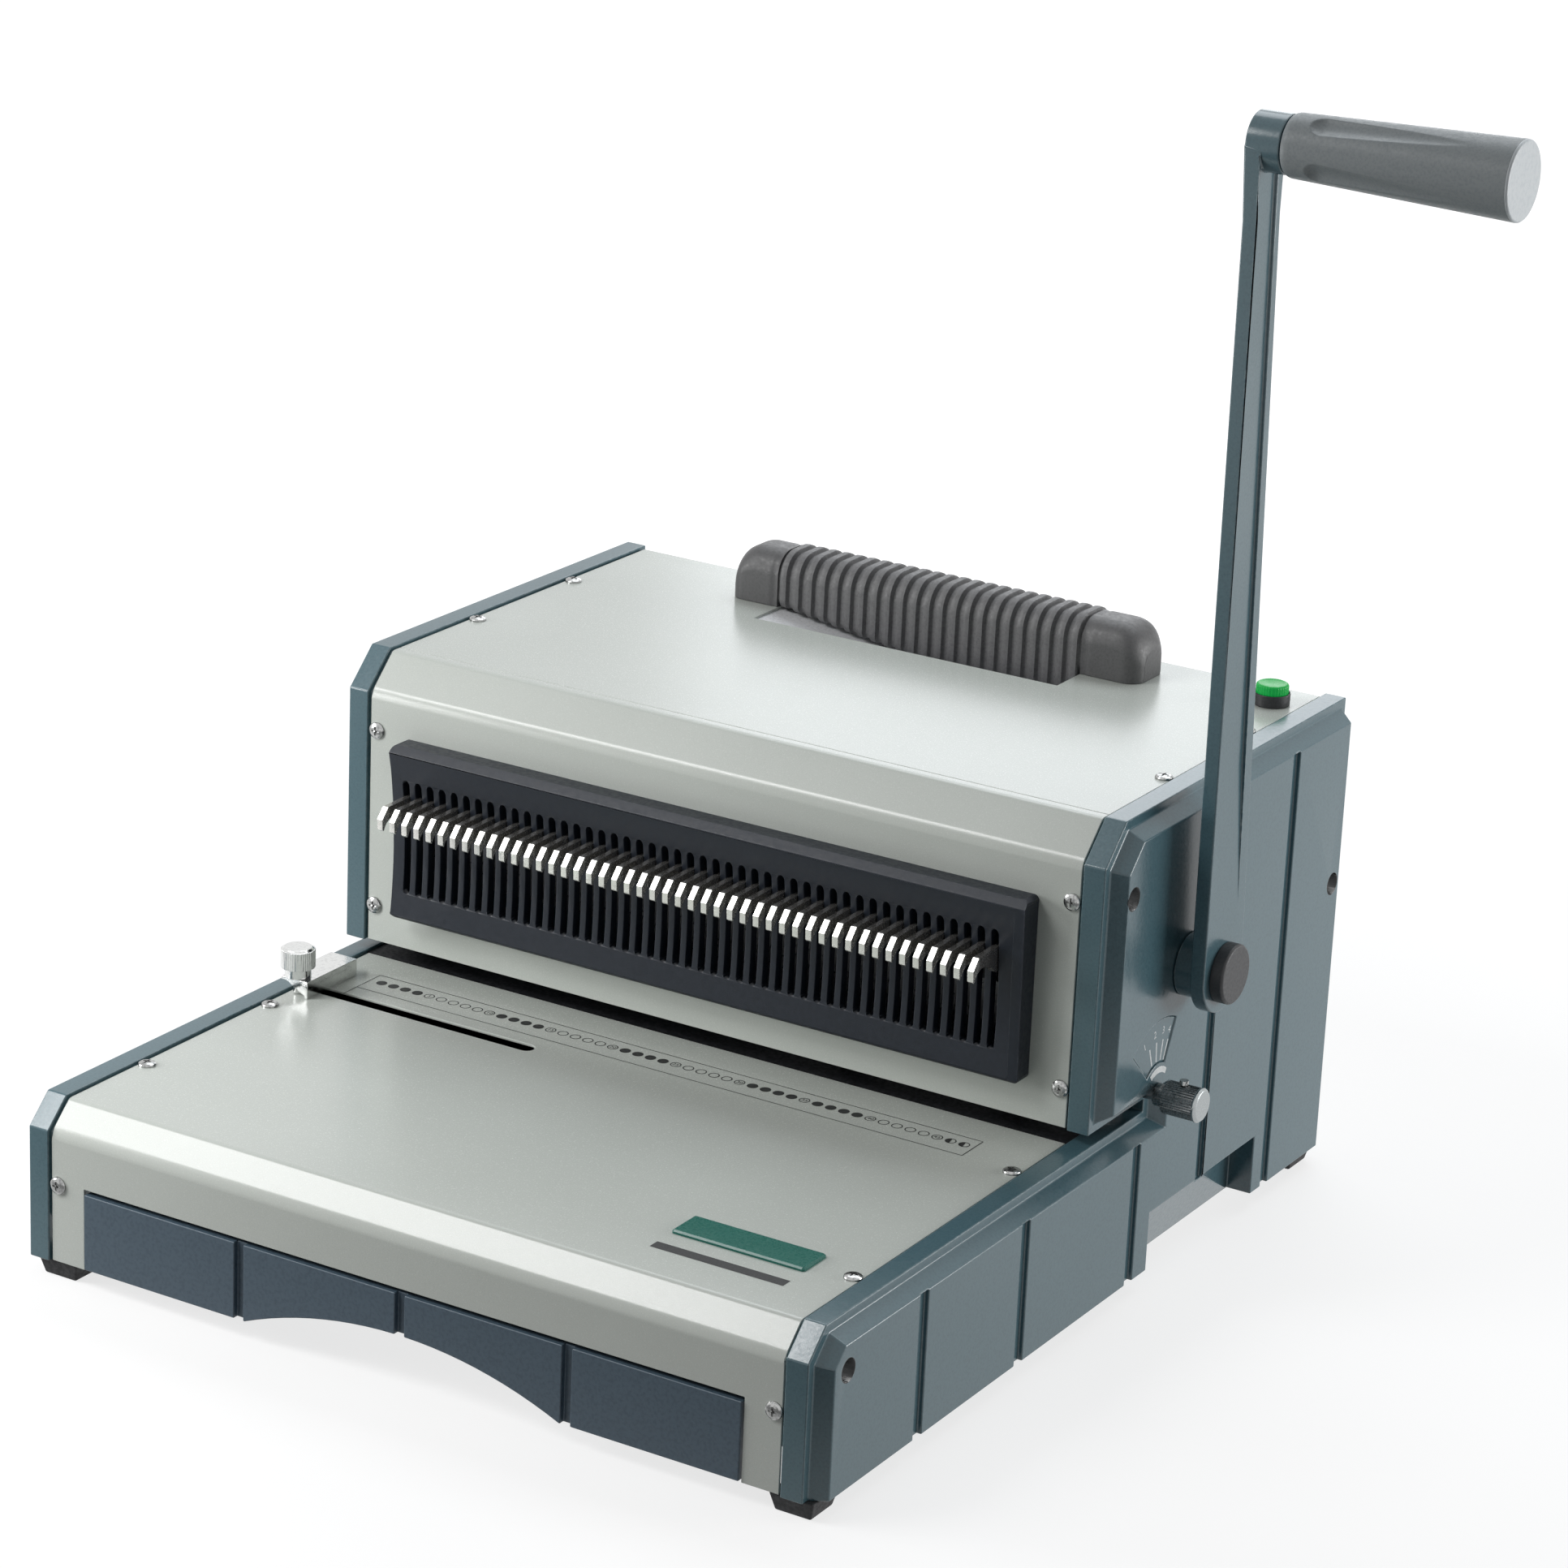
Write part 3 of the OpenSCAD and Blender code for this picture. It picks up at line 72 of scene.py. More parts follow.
def linear(value):
    """An sRGB value from 0 to 255 as linear light."""
    value /= 255
    return value / 12.92 if value <= 0.04045 else ((value + 0.055) / 1.055) ** 2.4


def rgb(red, green, blue):
    return (linear(red), linear(green), linear(blue), 1.0)


def feed(tree, socket, value):
    """Links a socket to another socket, or sets it to a plain value."""
    if isinstance(value, bpy.types.NodeSocket):
        tree.links.new(value, socket)
    else:
        socket.default_value = value


def math_node(tree, operation, *values):
    node = tree.nodes.new("ShaderNodeMath")
    node.operation = operation
    for socket, value in zip(node.inputs, values):
        feed(tree, socket, value)
    return node.outputs[0]


class Finish:
    """One procedural material: a Principled shader with colour, roughness and bump from object-space noise."""

    def __init__(self, name, color, roughness, metallic=0.0, **sockets):
        self.mat = bpy.data.materials.new(name)
        self.mat.use_nodes = True
        self.tree = self.mat.node_tree
        self.bsdf = self.tree.nodes["Principled BSDF"]
        self.bsdf.inputs["Base Color"].default_value = color
        self.bsdf.inputs["Roughness"].default_value = roughness
        self.bsdf.inputs["Metallic"].default_value = metallic
        for socket, value in sockets.items():
            self.bsdf.inputs[socket.replace("_", " ")].default_value = value
        self.color = color
        self.normal = None
        self.coords = self.add("ShaderNodeTexCoord").outputs["Object"]

    def add(self, kind, **inputs):
        node = self.tree.nodes.new(kind)
        for name, value in inputs.items():
            feed(self.tree, node.inputs[name], value)
        return node

    def vector(self, operation, first, second=None):
        """The outputs of a vector operation."""
        node = self.tree.nodes.new("ShaderNodeVectorMath")
        node.operation = operation
        feed(self.tree, node.inputs[0], first)
        if second is not None:
            feed(self.tree, node.inputs[1], second)
        return node.outputs

    def along(self, axis):
        """The place along X, Y or Z of the object's own frame, in metres."""
        return self.add("ShaderNodeSeparateXYZ", Vector=self.coords).outputs[axis]

    def noise(self, scale, detail=3.0, stretch=None):
        coords = self.coords
        if stretch:
            coords = self.add("ShaderNodeMapping", Vector=coords, Scale=stretch).outputs[0]
        return self.add("ShaderNodeTexNoise", Vector=coords, Scale=scale, Detail=detail).outputs["Fac"]

    def ramp(self, value, low, high, out_low=0.0, out_high=1.0):
        node = self.add("ShaderNodeMapRange", Value=value)
        for name, number in (("From Min", low), ("From Max", high), ("To Min", out_low), ("To Max", out_high)):
            node.inputs[name].default_value = number
        return node.outputs["Result"]

    def tint(self, other, mask):
        """Mixes another colour into the base colour where the mask is high."""
        node = self.tree.nodes.new("ShaderNodeMix")
        node.data_type = "RGBA"
        factor, first, second = node.inputs[0], node.inputs[6], node.inputs[7]
        feed(self.tree, factor, mask)
        feed(self.tree, first, self.color)
        feed(self.tree, second, other)
        self.color = node.outputs[2]
        feed(self.tree, self.bsdf.inputs["Base Color"], self.color)
        return self

    def speckle(self, other, scale, low=0.45, high=0.65, amount=1.0, stretch=None):
        return self.tint(other, self.ramp(self.noise(scale, 4.0, stretch), low, high, 0.0, amount))

    def gloss(self, low, high, scale):
        feed(self.tree, self.bsdf.inputs["Roughness"], self.ramp(self.noise(scale), 0.35, 0.65, low, high))
        return self

    def bump(self, scale, depth, strength=0.5):
        node = self.add("ShaderNodeBump", Height=self.noise(scale), Strength=strength, Distance=depth)
        if self.normal:
            feed(self.tree, node.inputs["Normal"], self.normal)
        self.normal = node.outputs["Normal"]
        feed(self.tree, self.bsdf.inputs["Normal"], self.normal)
        return self

    def edge_wear_and_highlight(self, other, radius, amount):
        """Another colour along the convex edges, broken up by noise: light wear together with a painted
        highlight along the edges.
        """
        bevel = self.add("ShaderNodeBevel", Radius=radius)
        bevel.samples = 4
        flat_normal = self.add("ShaderNodeNewGeometry").outputs["Normal"]
        edge = self.ramp(self.vector("DOT_PRODUCT", bevel.outputs[0], flat_normal)["Value"], 0.97, 0.8)
        broken = self.ramp(self.noise(260.0, 5.0), 0.42, 0.62, 0.0, amount)
        return self.tint(other, math_node(self.tree, "MULTIPLY", edge, broken))


casting = Finish("casting_paint", rgb(75, 104, 113), 0.2, IOR=1.6)
casting.speckle(rgb(70, 98, 107), 900.0).speckle(rgb(81, 110, 119), 1500.0, 0.55, 0.75, 0.5)
casting.gloss(0.17, 0.25, 700.0).bump(420.0, 0.0004, 0.07).bump(1300.0, 0.0002, 0.05)
# Lighter edges: light wear and a painted highlight
casting.edge_wear_and_highlight(rgb(166, 180, 184), 0.0011, 0.9)

# The sunk holes of the tie bolts, at these places in Y and Z of the CAD source, are dark inside: painted shade
TIE_BOLTS, BOLT_HOLE_R, BOLT_HOLE_RIM = ((17.6, 59.1), (229.9, 184.3), (422.5, 134.5)), 0.0050, 0.0053
for y, z in TIE_BOLTS:
    apart = casting.vector("SUBTRACT", casting.coords, at(0, y, z))["Vector"]
    in_plane = casting.vector("MULTIPLY", apart, Y + Z)["Vector"]
    span = casting.vector("LENGTH", in_plane)["Value"]
    casting.tint(rgb(20, 24, 26), casting.ramp(span, BOLT_HOLE_RIM, BOLT_HOLE_R))

cover = Finish("cover_paint", rgb(196, 201, 195), 0.3, IOR=1.6)
cover.speckle(rgb(186, 192, 185), 2600.0, 0.5, 0.7, 0.8).speckle(rgb(203, 208, 202), 9.0, 0.4, 0.7, 0.5)
cover.gloss(0.2, 0.28, 1800.0).bump(2400.0, 0.00008, 0.3)

panel = Finish("panel_plastic", rgb(19, 26, 36), 0.34, Specular_IOR_Level=0.36)
panel.speckle(rgb(23, 31, 42), 420.0, 0.4, 0.7, 0.7).gloss(0.32, 0.46, 500.0).bump(1700.0, 0.00012, 0.3)
# Lighter edges: light wear and a painted highlight
panel.edge_wear_and_highlight(rgb(96, 102, 110), 0.0007, 0.8)

slate = Finish("drawer_plastic", rgb(76, 93, 106), 0.3)
slate.speckle(rgb(68, 84, 97), 600.0).gloss(0.3, 0.42, 400.0).bump(1500.0, 0.0001, 0.3)

chrome = Finish("bright_plate", rgb(226, 227, 226), 0.14, 1.0)
chrome.speckle(rgb(202, 203, 203), 700.0, 0.5, 0.75, 0.7).gloss(0.1, 0.22, 900.0).bump(2200.0, 0.00004, 0.25)

# The screws' plating is darker than the bright plate, with dark flecks, as painted shade
shaded_screw_plate = Finish("shaded_screw_plate", rgb(178, 179, 178), 0.16, 1.0)
shaded_screw_plate.speckle(rgb(118, 119, 120), 900.0, 0.45, 0.7, 0.8).gloss(0.12, 0.26, 900.0)

# The hooks are bright at their tips and painted darker behind them, painted shade where the arms reach into
# the dark panel
TIP_END, ARM_START = 193.6, 194.4
hooks_plate = Finish("hook_plate", rgb(238, 237, 232), 0.2, 0.85)
hooks_plate.speckle(rgb(214, 213, 208), 500.0, 0.5, 0.75, 0.7).gloss(0.16, 0.28, 1200.0)
painted_arm_shade = hooks_plate.ramp(hooks_plate.along("Y"), (TIP_END + SHIFT.y) / 1000,
                              (ARM_START + SHIFT.y) / 1000)
hooks_plate.tint(rgb(176, 174, 170), painted_arm_shade)

steel = Finish("plain_steel", rgb(150, 152, 154), 0.32, 1.0)
steel.speckle(rgb(128, 130, 132), 500.0, 0.4, 0.7, 0.8, (1.0, 14.0, 14.0)).gloss(0.26, 0.42, 700.0)

# Steel darkened as painted shade, for the die plates in the shaded throat under the tower
dark_steel = Finish("shade_darkened_steel", rgb(40, 42, 45), 0.45, 0.7)
dark_steel.speckle(rgb(58, 60, 63), 420.0).gloss(0.38, 0.55, 600.0).bump(900.0, 0.00008, 0.3)

# Near-white sheet, raised as painted light against the sleeve's shadow in the recess
sheet = Finish("bright_sheet", rgb(246, 247, 249), 0.3)
sheet.speckle(rgb(238, 240, 243), 300.0, 0.4, 0.7, 0.6, (1.0, 8.0, 8.0)).gloss(0.22, 0.36, 600.0)

rubber = Finish("charcoal_rubber", rgb(100, 100, 101), 0.5)
rubber.speckle(rgb(90, 90, 91), 800.0).speckle(rgb(114, 114, 115), 2300.0, 0.56, 0.74, 0.7)
rubber.gloss(0.44, 0.6, 700.0).bump(1800.0, 0.0002, 0.5)

cap_rubber = Finish("cap_rubber", rgb(80, 80, 81), 0.44)
cap_rubber.speckle(rgb(73, 73, 74), 800.0).gloss(0.38, 0.52, 600.0).bump(2000.0, 0.00015, 0.35)

black = Finish("black_plastic", rgb(27, 28, 31), 0.45)
black.speckle(rgb(36, 37, 40), 900.0).gloss(0.38, 0.54, 800.0).bump(2200.0, 0.0001, 0.35)

foot_rubber = Finish("foot_rubber", rgb(26, 27, 29), 0.7)
foot_rubber.speckle(rgb(40, 41, 43), 900.0).gloss(0.6, 0.8, 500.0).bump(1200.0, 0.0002, 0.4)

grey_grip = Finish("grip_plastic", rgb(136, 142, 144), 0.4, Specular_IOR_Level=0.3)
grey_grip.speckle(rgb(128, 134, 137), 900.0).gloss(0.36, 0.5, 600.0).bump(1900.0, 0.0001, 0.3)

pale = Finish("pale_plastic", rgb(203, 209, 212), 0.4)
pale.speckle(rgb(194, 201, 205), 500.0).gloss(0.34, 0.46, 600.0).bump(1900.0, 0.00008, 0.3)

green = Finish("badge_green", rgb(10, 98, 86), 0.22)
green.speckle(rgb(12, 102, 90), 900.0).gloss(0.26, 0.3, 900.0).bump(2400.0, 0.00002, 0.1)

# A faint painted glow in the green lens
lens = Finish("green_lens", rgb(14, 156, 58), 0.3, Transmission_Weight=0.2, IOR=1.45, Specular_IOR_Level=0.2,
              Emission_Color=rgb(20, 190, 95), Emission_Strength=0.2)
lens.speckle(rgb(30, 180, 80), 500.0, 0.4, 0.7, 0.6).gloss(0.24, 0.36, 700.0)

ink = Finish("printed_ink", rgb(24, 25, 26), 0.5)
ink.speckle(rgb(38, 39, 40), 1500.0).gloss(0.42, 0.58, 1500.0)

pale_print_and_highlight = Finish("pale_print_and_highlight", rgb(226, 230, 230), 0.45)
pale_print_and_highlight.speckle(rgb(206, 211, 212), 1500.0).gloss(0.38, 0.54, 1500.0)

# The depth knob's plating is darkened with painted shade, most on its knurl, less on its end
KNURL_END, KNOB_FACE = 212.9, 213.1
knob_plate = Finish("knob_plate", rgb(132, 134, 135), 0.24, 1.0)
knob_plate.speckle(rgb(92, 94, 96), 900.0, 0.4, 0.7, 0.8).gloss(0.18, 0.34, 1200.0)
past_knurl = knob_plate.ramp(knob_plate.along("X"), (KNURL_END + SHIFT.x) / 1000,
                             (KNOB_FACE + SHIFT.x) / 1000)
knob_plate.tint(rgb(164, 169, 170), past_knurl)

bronze = Finish("sintered_bronze", rgb(164, 124, 76), 0.4, 1.0)
bronze.speckle(rgb(134, 98, 58), 900.0).gloss(0.34, 0.5, 900.0)


def finish_mesh(name, mesh, mat, smooth=50.0):
    """An object for a mesh, shaded smooth up to an angle and with flat faces kept flat."""
    mesh.polygons.foreach_set("use_smooth", [True] * len(mesh.polygons))
    mesh.set_sharp_from_angle(angle=math.radians(smooth))
    mesh.materials.clear()
    mesh.materials.append(mat.mat)
    obj = bpy.data.objects.new(name, mesh)
    scene.collection.objects.link(obj)
    weighted = obj.modifiers.new("flat_faces", "WEIGHTED_NORMAL")
    weighted.keep_sharp = True
    return obj


def place(obj, body, slot, *replaced):
    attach(obj, body)
    if replaced:
        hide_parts(*replaced)


def soften(name, mat, slot, width=0.5, steps=2, angle=28.0, bends=(), shortest=0.0):
    """A copy of a CAD node with its sharp edges rounded; bends are edges that get a wider radius first."""
    same_point, same_plane, bend_angle = 2e-6, 0.4, 15.0
    bm = bmesh.new()
    bm.from_mesh(nodes[name].data)
    bmesh.ops.remove_doubles(bm, verts=bm.verts, dist=same_point)
    bmesh.ops.dissolve_limit(bm, angle_limit=math.radians(same_plane), verts=bm.verts, edges=bm.edges)

    def sharp(edge, limit):
        return edge.is_manifold and edge.calc_face_angle(0.0) > math.radians(limit)

    def rounded(edges, radius, parts, clamp):
        bmesh.ops.bevel(bm, geom=edges, offset=radius / 1000, offset_type="OFFSET", segments=parts,
                        profile=0.5, affect="EDGES", clamp_overlap=clamp)

    for test, radius, parts in bends:
        rounded([e for e in bm.edges if sharp(e, bend_angle) and test(e)], radius, parts, True)
    edges = [e for e in bm.edges if sharp(e, angle) and e.calc_length() > shortest / 1000]
    rounded(edges, width, steps, False)
    mesh = bpy.data.meshes.new(name + "_dressed")
    bm.to_mesh(mesh)
    bm.free()
    place(finish_mesh(name + "_dressed", mesh, mat), nodes[name]["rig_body"], slot, name)


def along_x_near(y, z, reach=1.6):
    """Picks edges that run along X and pass near a line, given in Y and Z of the CAD source."""
    target = at(0, y, z)
    level = 1e-5

    def test(edge):
        a, b = (v.co for v in edge.verts)
        if abs(a.y - b.y) > level or abs(a.z - b.z) > level:
            return False
        return math.hypot(a.y - target.y, a.z - target.z) < reach / 1000

    return test


def dress(mat, *names):
    """Gives CAD nodes that keep their shape their material."""
    for name in names:
        data = nodes[name].data
        data.materials.clear()
        data.materials.append(mat.mat)


# CAD nodes that keep their shape
dress(casting, "lever_hub")
dress(cover, "rear_panel")
# The screws get the darkened plating, painted shade
dress(shaded_screw_plate, "cover_screws", "pointer_screw")
dress(steel, "base_pan", "tie_rods", "punch_guide_rods", "hook_guide_rods", "spring_bar", "return_springs",
      "drawer_runners", "handle_strap", "main_shaft", "shaft_collars", "punch_pinions", "hook_pinions",
      "lever_bolt", "grip_spindle", "punch_bar", "punch_racks", "punch_pins", "pin_clamp_bar", "hook_bar",
      "hook_racks", "depth_shaft", "paper_stops", "drawer_tray", "guide_slider")
# The throat's die and pin guide plates are dark as painted shade
dress(dark_steel, "die_plate", "pin_guide_plate")
# The tie bolts, sunk in their holes, are black as painted shade
dress(black, "tie_bolts", "button_nut", "button_switch")
dress(bronze, "shaft_bushes")
dress(sheet, "handle_recess")

# CAD nodes with their edges rounded; the covers' folds are crisp above and soft below
for side in ("left_side_casting", "right_side_casting"):
    soften(side, casting, "casting_paint", width=0.6, steps=3, angle=15.0, shortest=1.0)
soften("table_cover", cover, "cover_paint", 0.25, 2,
       bends=[(along_x_near(12, 77), 1.4, 5), (along_x_near(1, 66), 3.4, 6)])
soften("front_cover", cover, "cover_paint", 0.35, 2,
       bends=[(along_x_near(233, 214), 1.4, 5), (along_x_near(218, 199), 3.2, 8)])
soften("top_cover", cover, "cover_paint", 0.35, 2)
soften("comb_panel", panel, "panel_plastic", 0.4, 2, shortest=3.0)
soften("comb_hooks", hooks_plate, "chrome", 0.15, 2, angle=40.0)
soften("drawer_front", slate, "drawer_plastic", 0.5, 3)
soften("lever_arm", casting, "casting_paint", 0.7, 3, shortest=0.5)
soften("lever_cap", black, "black_plastic", 0.4, 3)
soften("edge_guide", chrome, "chrome", 0.2, 2)
soften("guide_knob", chrome, "chrome", 0.1, 1, angle=40.0)
soften("depth_knob", knob_plate, "chrome", 0.1, 1, angle=40.0)
soften("feet", foot_rubber, "rubber", 0.8, 3)
soften("button_bezel", black, "black_plastic", 0.4, 3)


def loft(name, rings, mat, smooth=50.0):
    """A closed skin over rings of equal point count."""
    count = len(rings[0])
    verts = [p for ring in rings for p in ring]
    faces = []
    for r in range(len(rings) - 1):
        for i in range(count):
            j = (i + 1) % count
            faces.append((r * count + i, r * count + j, (r + 1) * count + j, (r + 1) * count + i))
    faces.append(tuple(range(count - 1, -1, -1)))
    last = (len(rings) - 1) * count
    faces.append(tuple(range(last, last + count)))
    mesh = bpy.data.meshes.new(name)
    mesh.from_pydata(verts, [], faces)
    bm = bmesh.new()
    bm.from_mesh(mesh)
    bmesh.ops.recalc_face_normals(bm, faces=bm.faces)
    bm.to_mesh(mesh)
    bm.free()
    return finish_mesh(name, mesh, mat, smooth)


def around(x, y, r, degrees):
    """A point on a circle."""
    a = math.radians(degrees)
    return x + r * math.cos(a), y + r * math.sin(a)


def section(half, low, high, r_low, r_high, steps=10):
    """Outline of a bar's section: half its width, its heights and the radii of its lower and upper corners."""
    corners = [(half - r_low, low + r_low, r_low, -90), (half - r_high, high - r_high, r_high, 0),
               (-half + r_high, high - r_high, r_high, 90), (-half + r_low, low + r_low, r_low, 180)]
    return [around(y, z, r, first + 90 * k / steps) for y, z, r, first in corners for k in range(steps + 1)]


def smoothstep(a, b, x):
    t = min(1.0, max(0.0, (x - a) / (b - a)))
    return t * t * (3 - 2 * t)


def fall(r, x):
    """How far an arc of radius r has dropped at x past its highest point."""
    return r - math.sqrt(max(0.0, r ** 2 - max(0.0, x) ** 2))


# Carry handle: a ribbed sleeve, which hangs into the roof's recess towards the right, and two smooth caps
HANDLE_Y, HANDLE_HALF, HANDLE_TOP, ROOF = 408.8, 15.25, 240.0, 214.0
SLEEVE_HALF, SLEEVE_LOW_R, SLEEVE_HIGH_R, SLEEVE_GAP = 78.0, 4.0, 11.0, 0.4
HANG, HANG_END = 11.2, 76.3
RIBS, RIB_STEPS, GROOVE_DEPTH, RIB_CROWN = 23, 14, 1.6, 0.12
GROOVE_FLOOR, GROOVE_LIP, CROWN_START = 1.25, 1.75, 1.7
rib_pitch = 2 * SLEEVE_HALF / RIBS
rings = []
for k in range(RIBS * RIB_STEPS + 1):
    x = -SLEEVE_HALF + rib_pitch * k / RIB_STEPS
    place_in_rib = (k % RIB_STEPS) / RIB_STEPS
    from_groove = min(place_in_rib, 1 - place_in_rib) * rib_pitch
    shrink = (GROOVE_DEPTH * (1 - smoothstep(GROOVE_FLOOR, GROOVE_LIP, from_groove))
              + RIB_CROWN * (1 - smoothstep(CROWN_START, rib_pitch / 2, from_groove)))
    low = ROOF + SLEEVE_GAP - HANG * min(1.0, (x + SLEEVE_HALF) / SLEEVE_HALF) * (x < HANG_END)
    outline = section(HANDLE_HALF - shrink, low, HANDLE_TOP - shrink, SLEEVE_LOW_R, SLEEVE_HIGH_R)
    rings.append([at(x, HANDLE_Y + y, z) for y, z in outline])
place(loft("ribbed_sleeve", rings, rubber), "frame", "rubber", "handle_sleeve")

CAP_STEPS, CAP_INSET, CAP_END_R, CAP_MAX_DROP = 24, 0.9, 13.0, 11.8
CAP_TOP_R, CAP_FOOT_R, CAP_GAP = 10.5, 0.4, 0.1
SEAM_X, SEAM_HALF, SEAM_DEPTH = 79.6, 0.7, 0.5
for side, name, length, corner in ((-1, "left", 25.0, 6.0), (1, "right", 28.0, 8.0)):
    end = SLEEVE_HALF + length
    rings = []
    for k in range(CAP_STEPS + 1):
        x = SLEEVE_HALF + length * math.sin(math.pi / 2 * k / CAP_STEPS)
        seam = SEAM_DEPTH * (1 - smoothstep(0.0, SEAM_HALF, abs(x - SEAM_X)))
        top = HANDLE_TOP - CAP_INSET - seam - min(fall(CAP_END_R, x - end + CAP_END_R), CAP_MAX_DROP)
        half = HANDLE_HALF - CAP_INSET - seam - min(fall(corner, x - end + corner), corner - 1.0)
        top_r = min(CAP_TOP_R, (top - ROOF) * 0.8, half * 0.9)
        outline = section(half, ROOF + CAP_GAP, top, CAP_FOOT_R, top_r)
        rings.append([at(side * x, HANDLE_Y + y, z) for y, z in outline])
    place(loft(f"handle_cap_{name}", rings, cap_rubber), "frame", "rubber", "handle_caps")

# Grip: a tapered barrel with long concave flutes, and its pale end
SHAFT_Y, SHAFT_Z, LEVER_L, LEVER_LEAN = 284.0, 140.3, 348.0, math.radians(2)


def grip_point(x, r, angle):
    """A point about the grip's axis, at an angle from the direction to the back."""
    across, up = r * math.cos(angle), LEVER_L + r * math.sin(angle)
    return at(x, SHAFT_Y + across * math.cos(LEVER_LEAN) - up * math.sin(LEVER_LEAN),
              SHAFT_Z + across * math.sin(LEVER_LEAN) + up * math.cos(LEVER_LEAN))


GRIP_X, GRIP_L, GRIP_R, GRIP_TAPER, GRIP_STEPS = 218.0, 95.3, 12.75, 3.2, 240
SHOULDER, SHOULDER_L = 1.5, 2.8
CUTTER_R, FLUTE_START, FLUTE_DEPTH, FLUTE_RUN, FLUTE_TURN = 9.0, 16.0, 2.0, 58.2, math.radians(11.5)
FLUTED_R = 13.2
flute_rise = math.atan(GRIP_TAPER / GRIP_L) + math.atan(FLUTE_DEPTH / FLUTE_RUN)
stations = [0, 0.25, 0.6, 1.1, 1.8, SHOULDER_L] + [4 + 0.5 * k for k in range(40)]
stations += [24 + 1.5 * k for k in range(47)] + [GRIP_L]
rings = []
for s in stations:
    round_in = SHOULDER * (1 - math.sqrt(max(0.0, 1 - (1 - min(1.0, s / SHOULDER_L)) ** 2)))
    barrel_r = GRIP_R + GRIP_TAPER * s / GRIP_L - round_in
    cutter_r = math.sqrt(max(0.0, CUTTER_R ** 2 - max(0.0, FLUTE_START - s) ** 2))
    cutter_axis = FLUTED_R - FLUTE_DEPTH + CUTTER_R + max(0.0, s - FLUTE_START) * math.tan(flute_rise)
    ring = []
    for i in range(GRIP_STEPS):
        a = 2 * math.pi * i / GRIP_STEPS
        off = (a + FLUTE_TURN) % (math.pi / 2) - math.pi / 4
        inside = cutter_r ** 2 - (cutter_axis * math.sin(off)) ** 2
        r = min(barrel_r, cutter_axis * math.cos(off) - math.sqrt(inside)) if inside > 0 else barrel_r
        ring.append(grip_point(GRIP_X + s, r, a))
    rings.append(ring)
place(loft("fluted_grip", rings, grey_grip), "grip", "grip_plastic", "lever_grip")

END_STEPS = 96
end_profile = [(313.32, 15.6), (313.36, 15.9), (314.0, 15.9), (314.4, 15.6), (314.65, 15.0), (314.65, 0.9),
               (314.45, 0.7), (314.45, 0.3)]
rings = [[grip_point(x, r, 2 * math.pi * i / END_STEPS) for i in range(END_STEPS)] for x, r in end_profile]
place(loft("grip_end_face", rings, pale), "grip", "pale_plastic", "grip_end_cap")

# Push button: a ribbed green lens, with a faint painted glow, and a shallow dished top
BUTTON_X, BUTTON_Y = 163.1, 411.0
LENS_STEPS, LENS_RIBS, LENS_RIB_DEPTH, RIBBED_FROM_R = 144, 36, 0.25, 6.0
lens_profile = [(3.0, 193.6), (3.0, 217.4), (7.0, 217.5), (7.15, 218.2), (7.15, 222.4), (6.9, 223.1),
                (6.4, 223.45), (5.6, 223.45), (5.2, 223.2), (0.4, 223.0)]
rings = []
for r, z in lens_profile:
    ring = []
    for i in range(LENS_STEPS):
        a = 2 * math.pi * i / LENS_STEPS
        rib = LENS_RIB_DEPTH * (0.5 + 0.5 * math.cos(LENS_RIBS * a)) if r > RIBBED_FROM_R else 0.0
        ring.append(at(BUTTON_X + (r - rib) * math.cos(a), BUTTON_Y + (r - rib) * math.sin(a), z))
    rings.append(ring)
place(loft("button_dome", rings, lens), "button", "green_lens", "button_lens")


class Print:
    """Flat ink shapes gathered into one mesh, drawn in a plane given by an origin and two directions."""

    def __init__(self, origin, across, up):
        self.origin, self.across, self.up = origin, across, up
        self.bm = bmesh.new()

    def vert(self, x, y):
        return self.bm.verts.new(self.origin + (self.across * x + self.up * y) / 1000)

    def face(self, points):
        self.bm.faces.new([self.vert(x, y) for x, y in points])

    def line(self, a, b, width):
        a, b = Vector(a), Vector(b)
        side = (b - a).orthogonal().normalized() * width / 2
        self.face([a - side, b - side, b + side, a + side])

    def ring(self, x, y, inner, outer, steps=28):
        for k in range(steps):
            a, b = 360 * k / steps, 360 * (k + 1) / steps
            self.face([around(x, y, inner, a), around(x, y, outer, a),
                       around(x, y, outer, b), around(x, y, inner, b)])

    def disc(self, x, y, r, first=0.0, last=360.0, steps=28):
        count = steps if last - first >= 360 else steps + 1
        self.face([around(x, y, r, first + (last - first) * k / steps) for k in range(count)])

    def number(self, x, y, text, height, turn=0.0):
        curve = bpy.data.curves.new("figure", "FONT")
        curve.body = text
        curve.size = height
        curve.align_x = "CENTER"
        curve.align_y = "CENTER"
        curve.resolution_u = 3
        holder = bpy.data.objects.new("figure", curve)
        scene.collection.objects.link(holder)
        bpy.context.view_layer.update()
        shape = bpy.data.meshes.new_from_object(holder.evaluated_get(bpy.context.evaluated_depsgraph_get()))
        spin = Matrix.Rotation(math.radians(turn), 4, "Z")
        turned = [spin @ v.co for v in shape.vertices]
        verts = [self.vert(x + p.x, y + p.y) for p in turned]
        for poly in shape.polygons:
            self.bm.faces.new([verts[i] for i in poly.vertices])
        bpy.data.objects.remove(holder)
        bpy.data.curves.remove(curve)
        bpy.data.meshes.remove(shape)

    def done(self, name, mat, body, slot):
        mesh = bpy.data.meshes.new(name)
        self.bm.to_mesh(mesh)
        self.bm.free()
        place(finish_mesh(name, mesh, mat), body, slot)


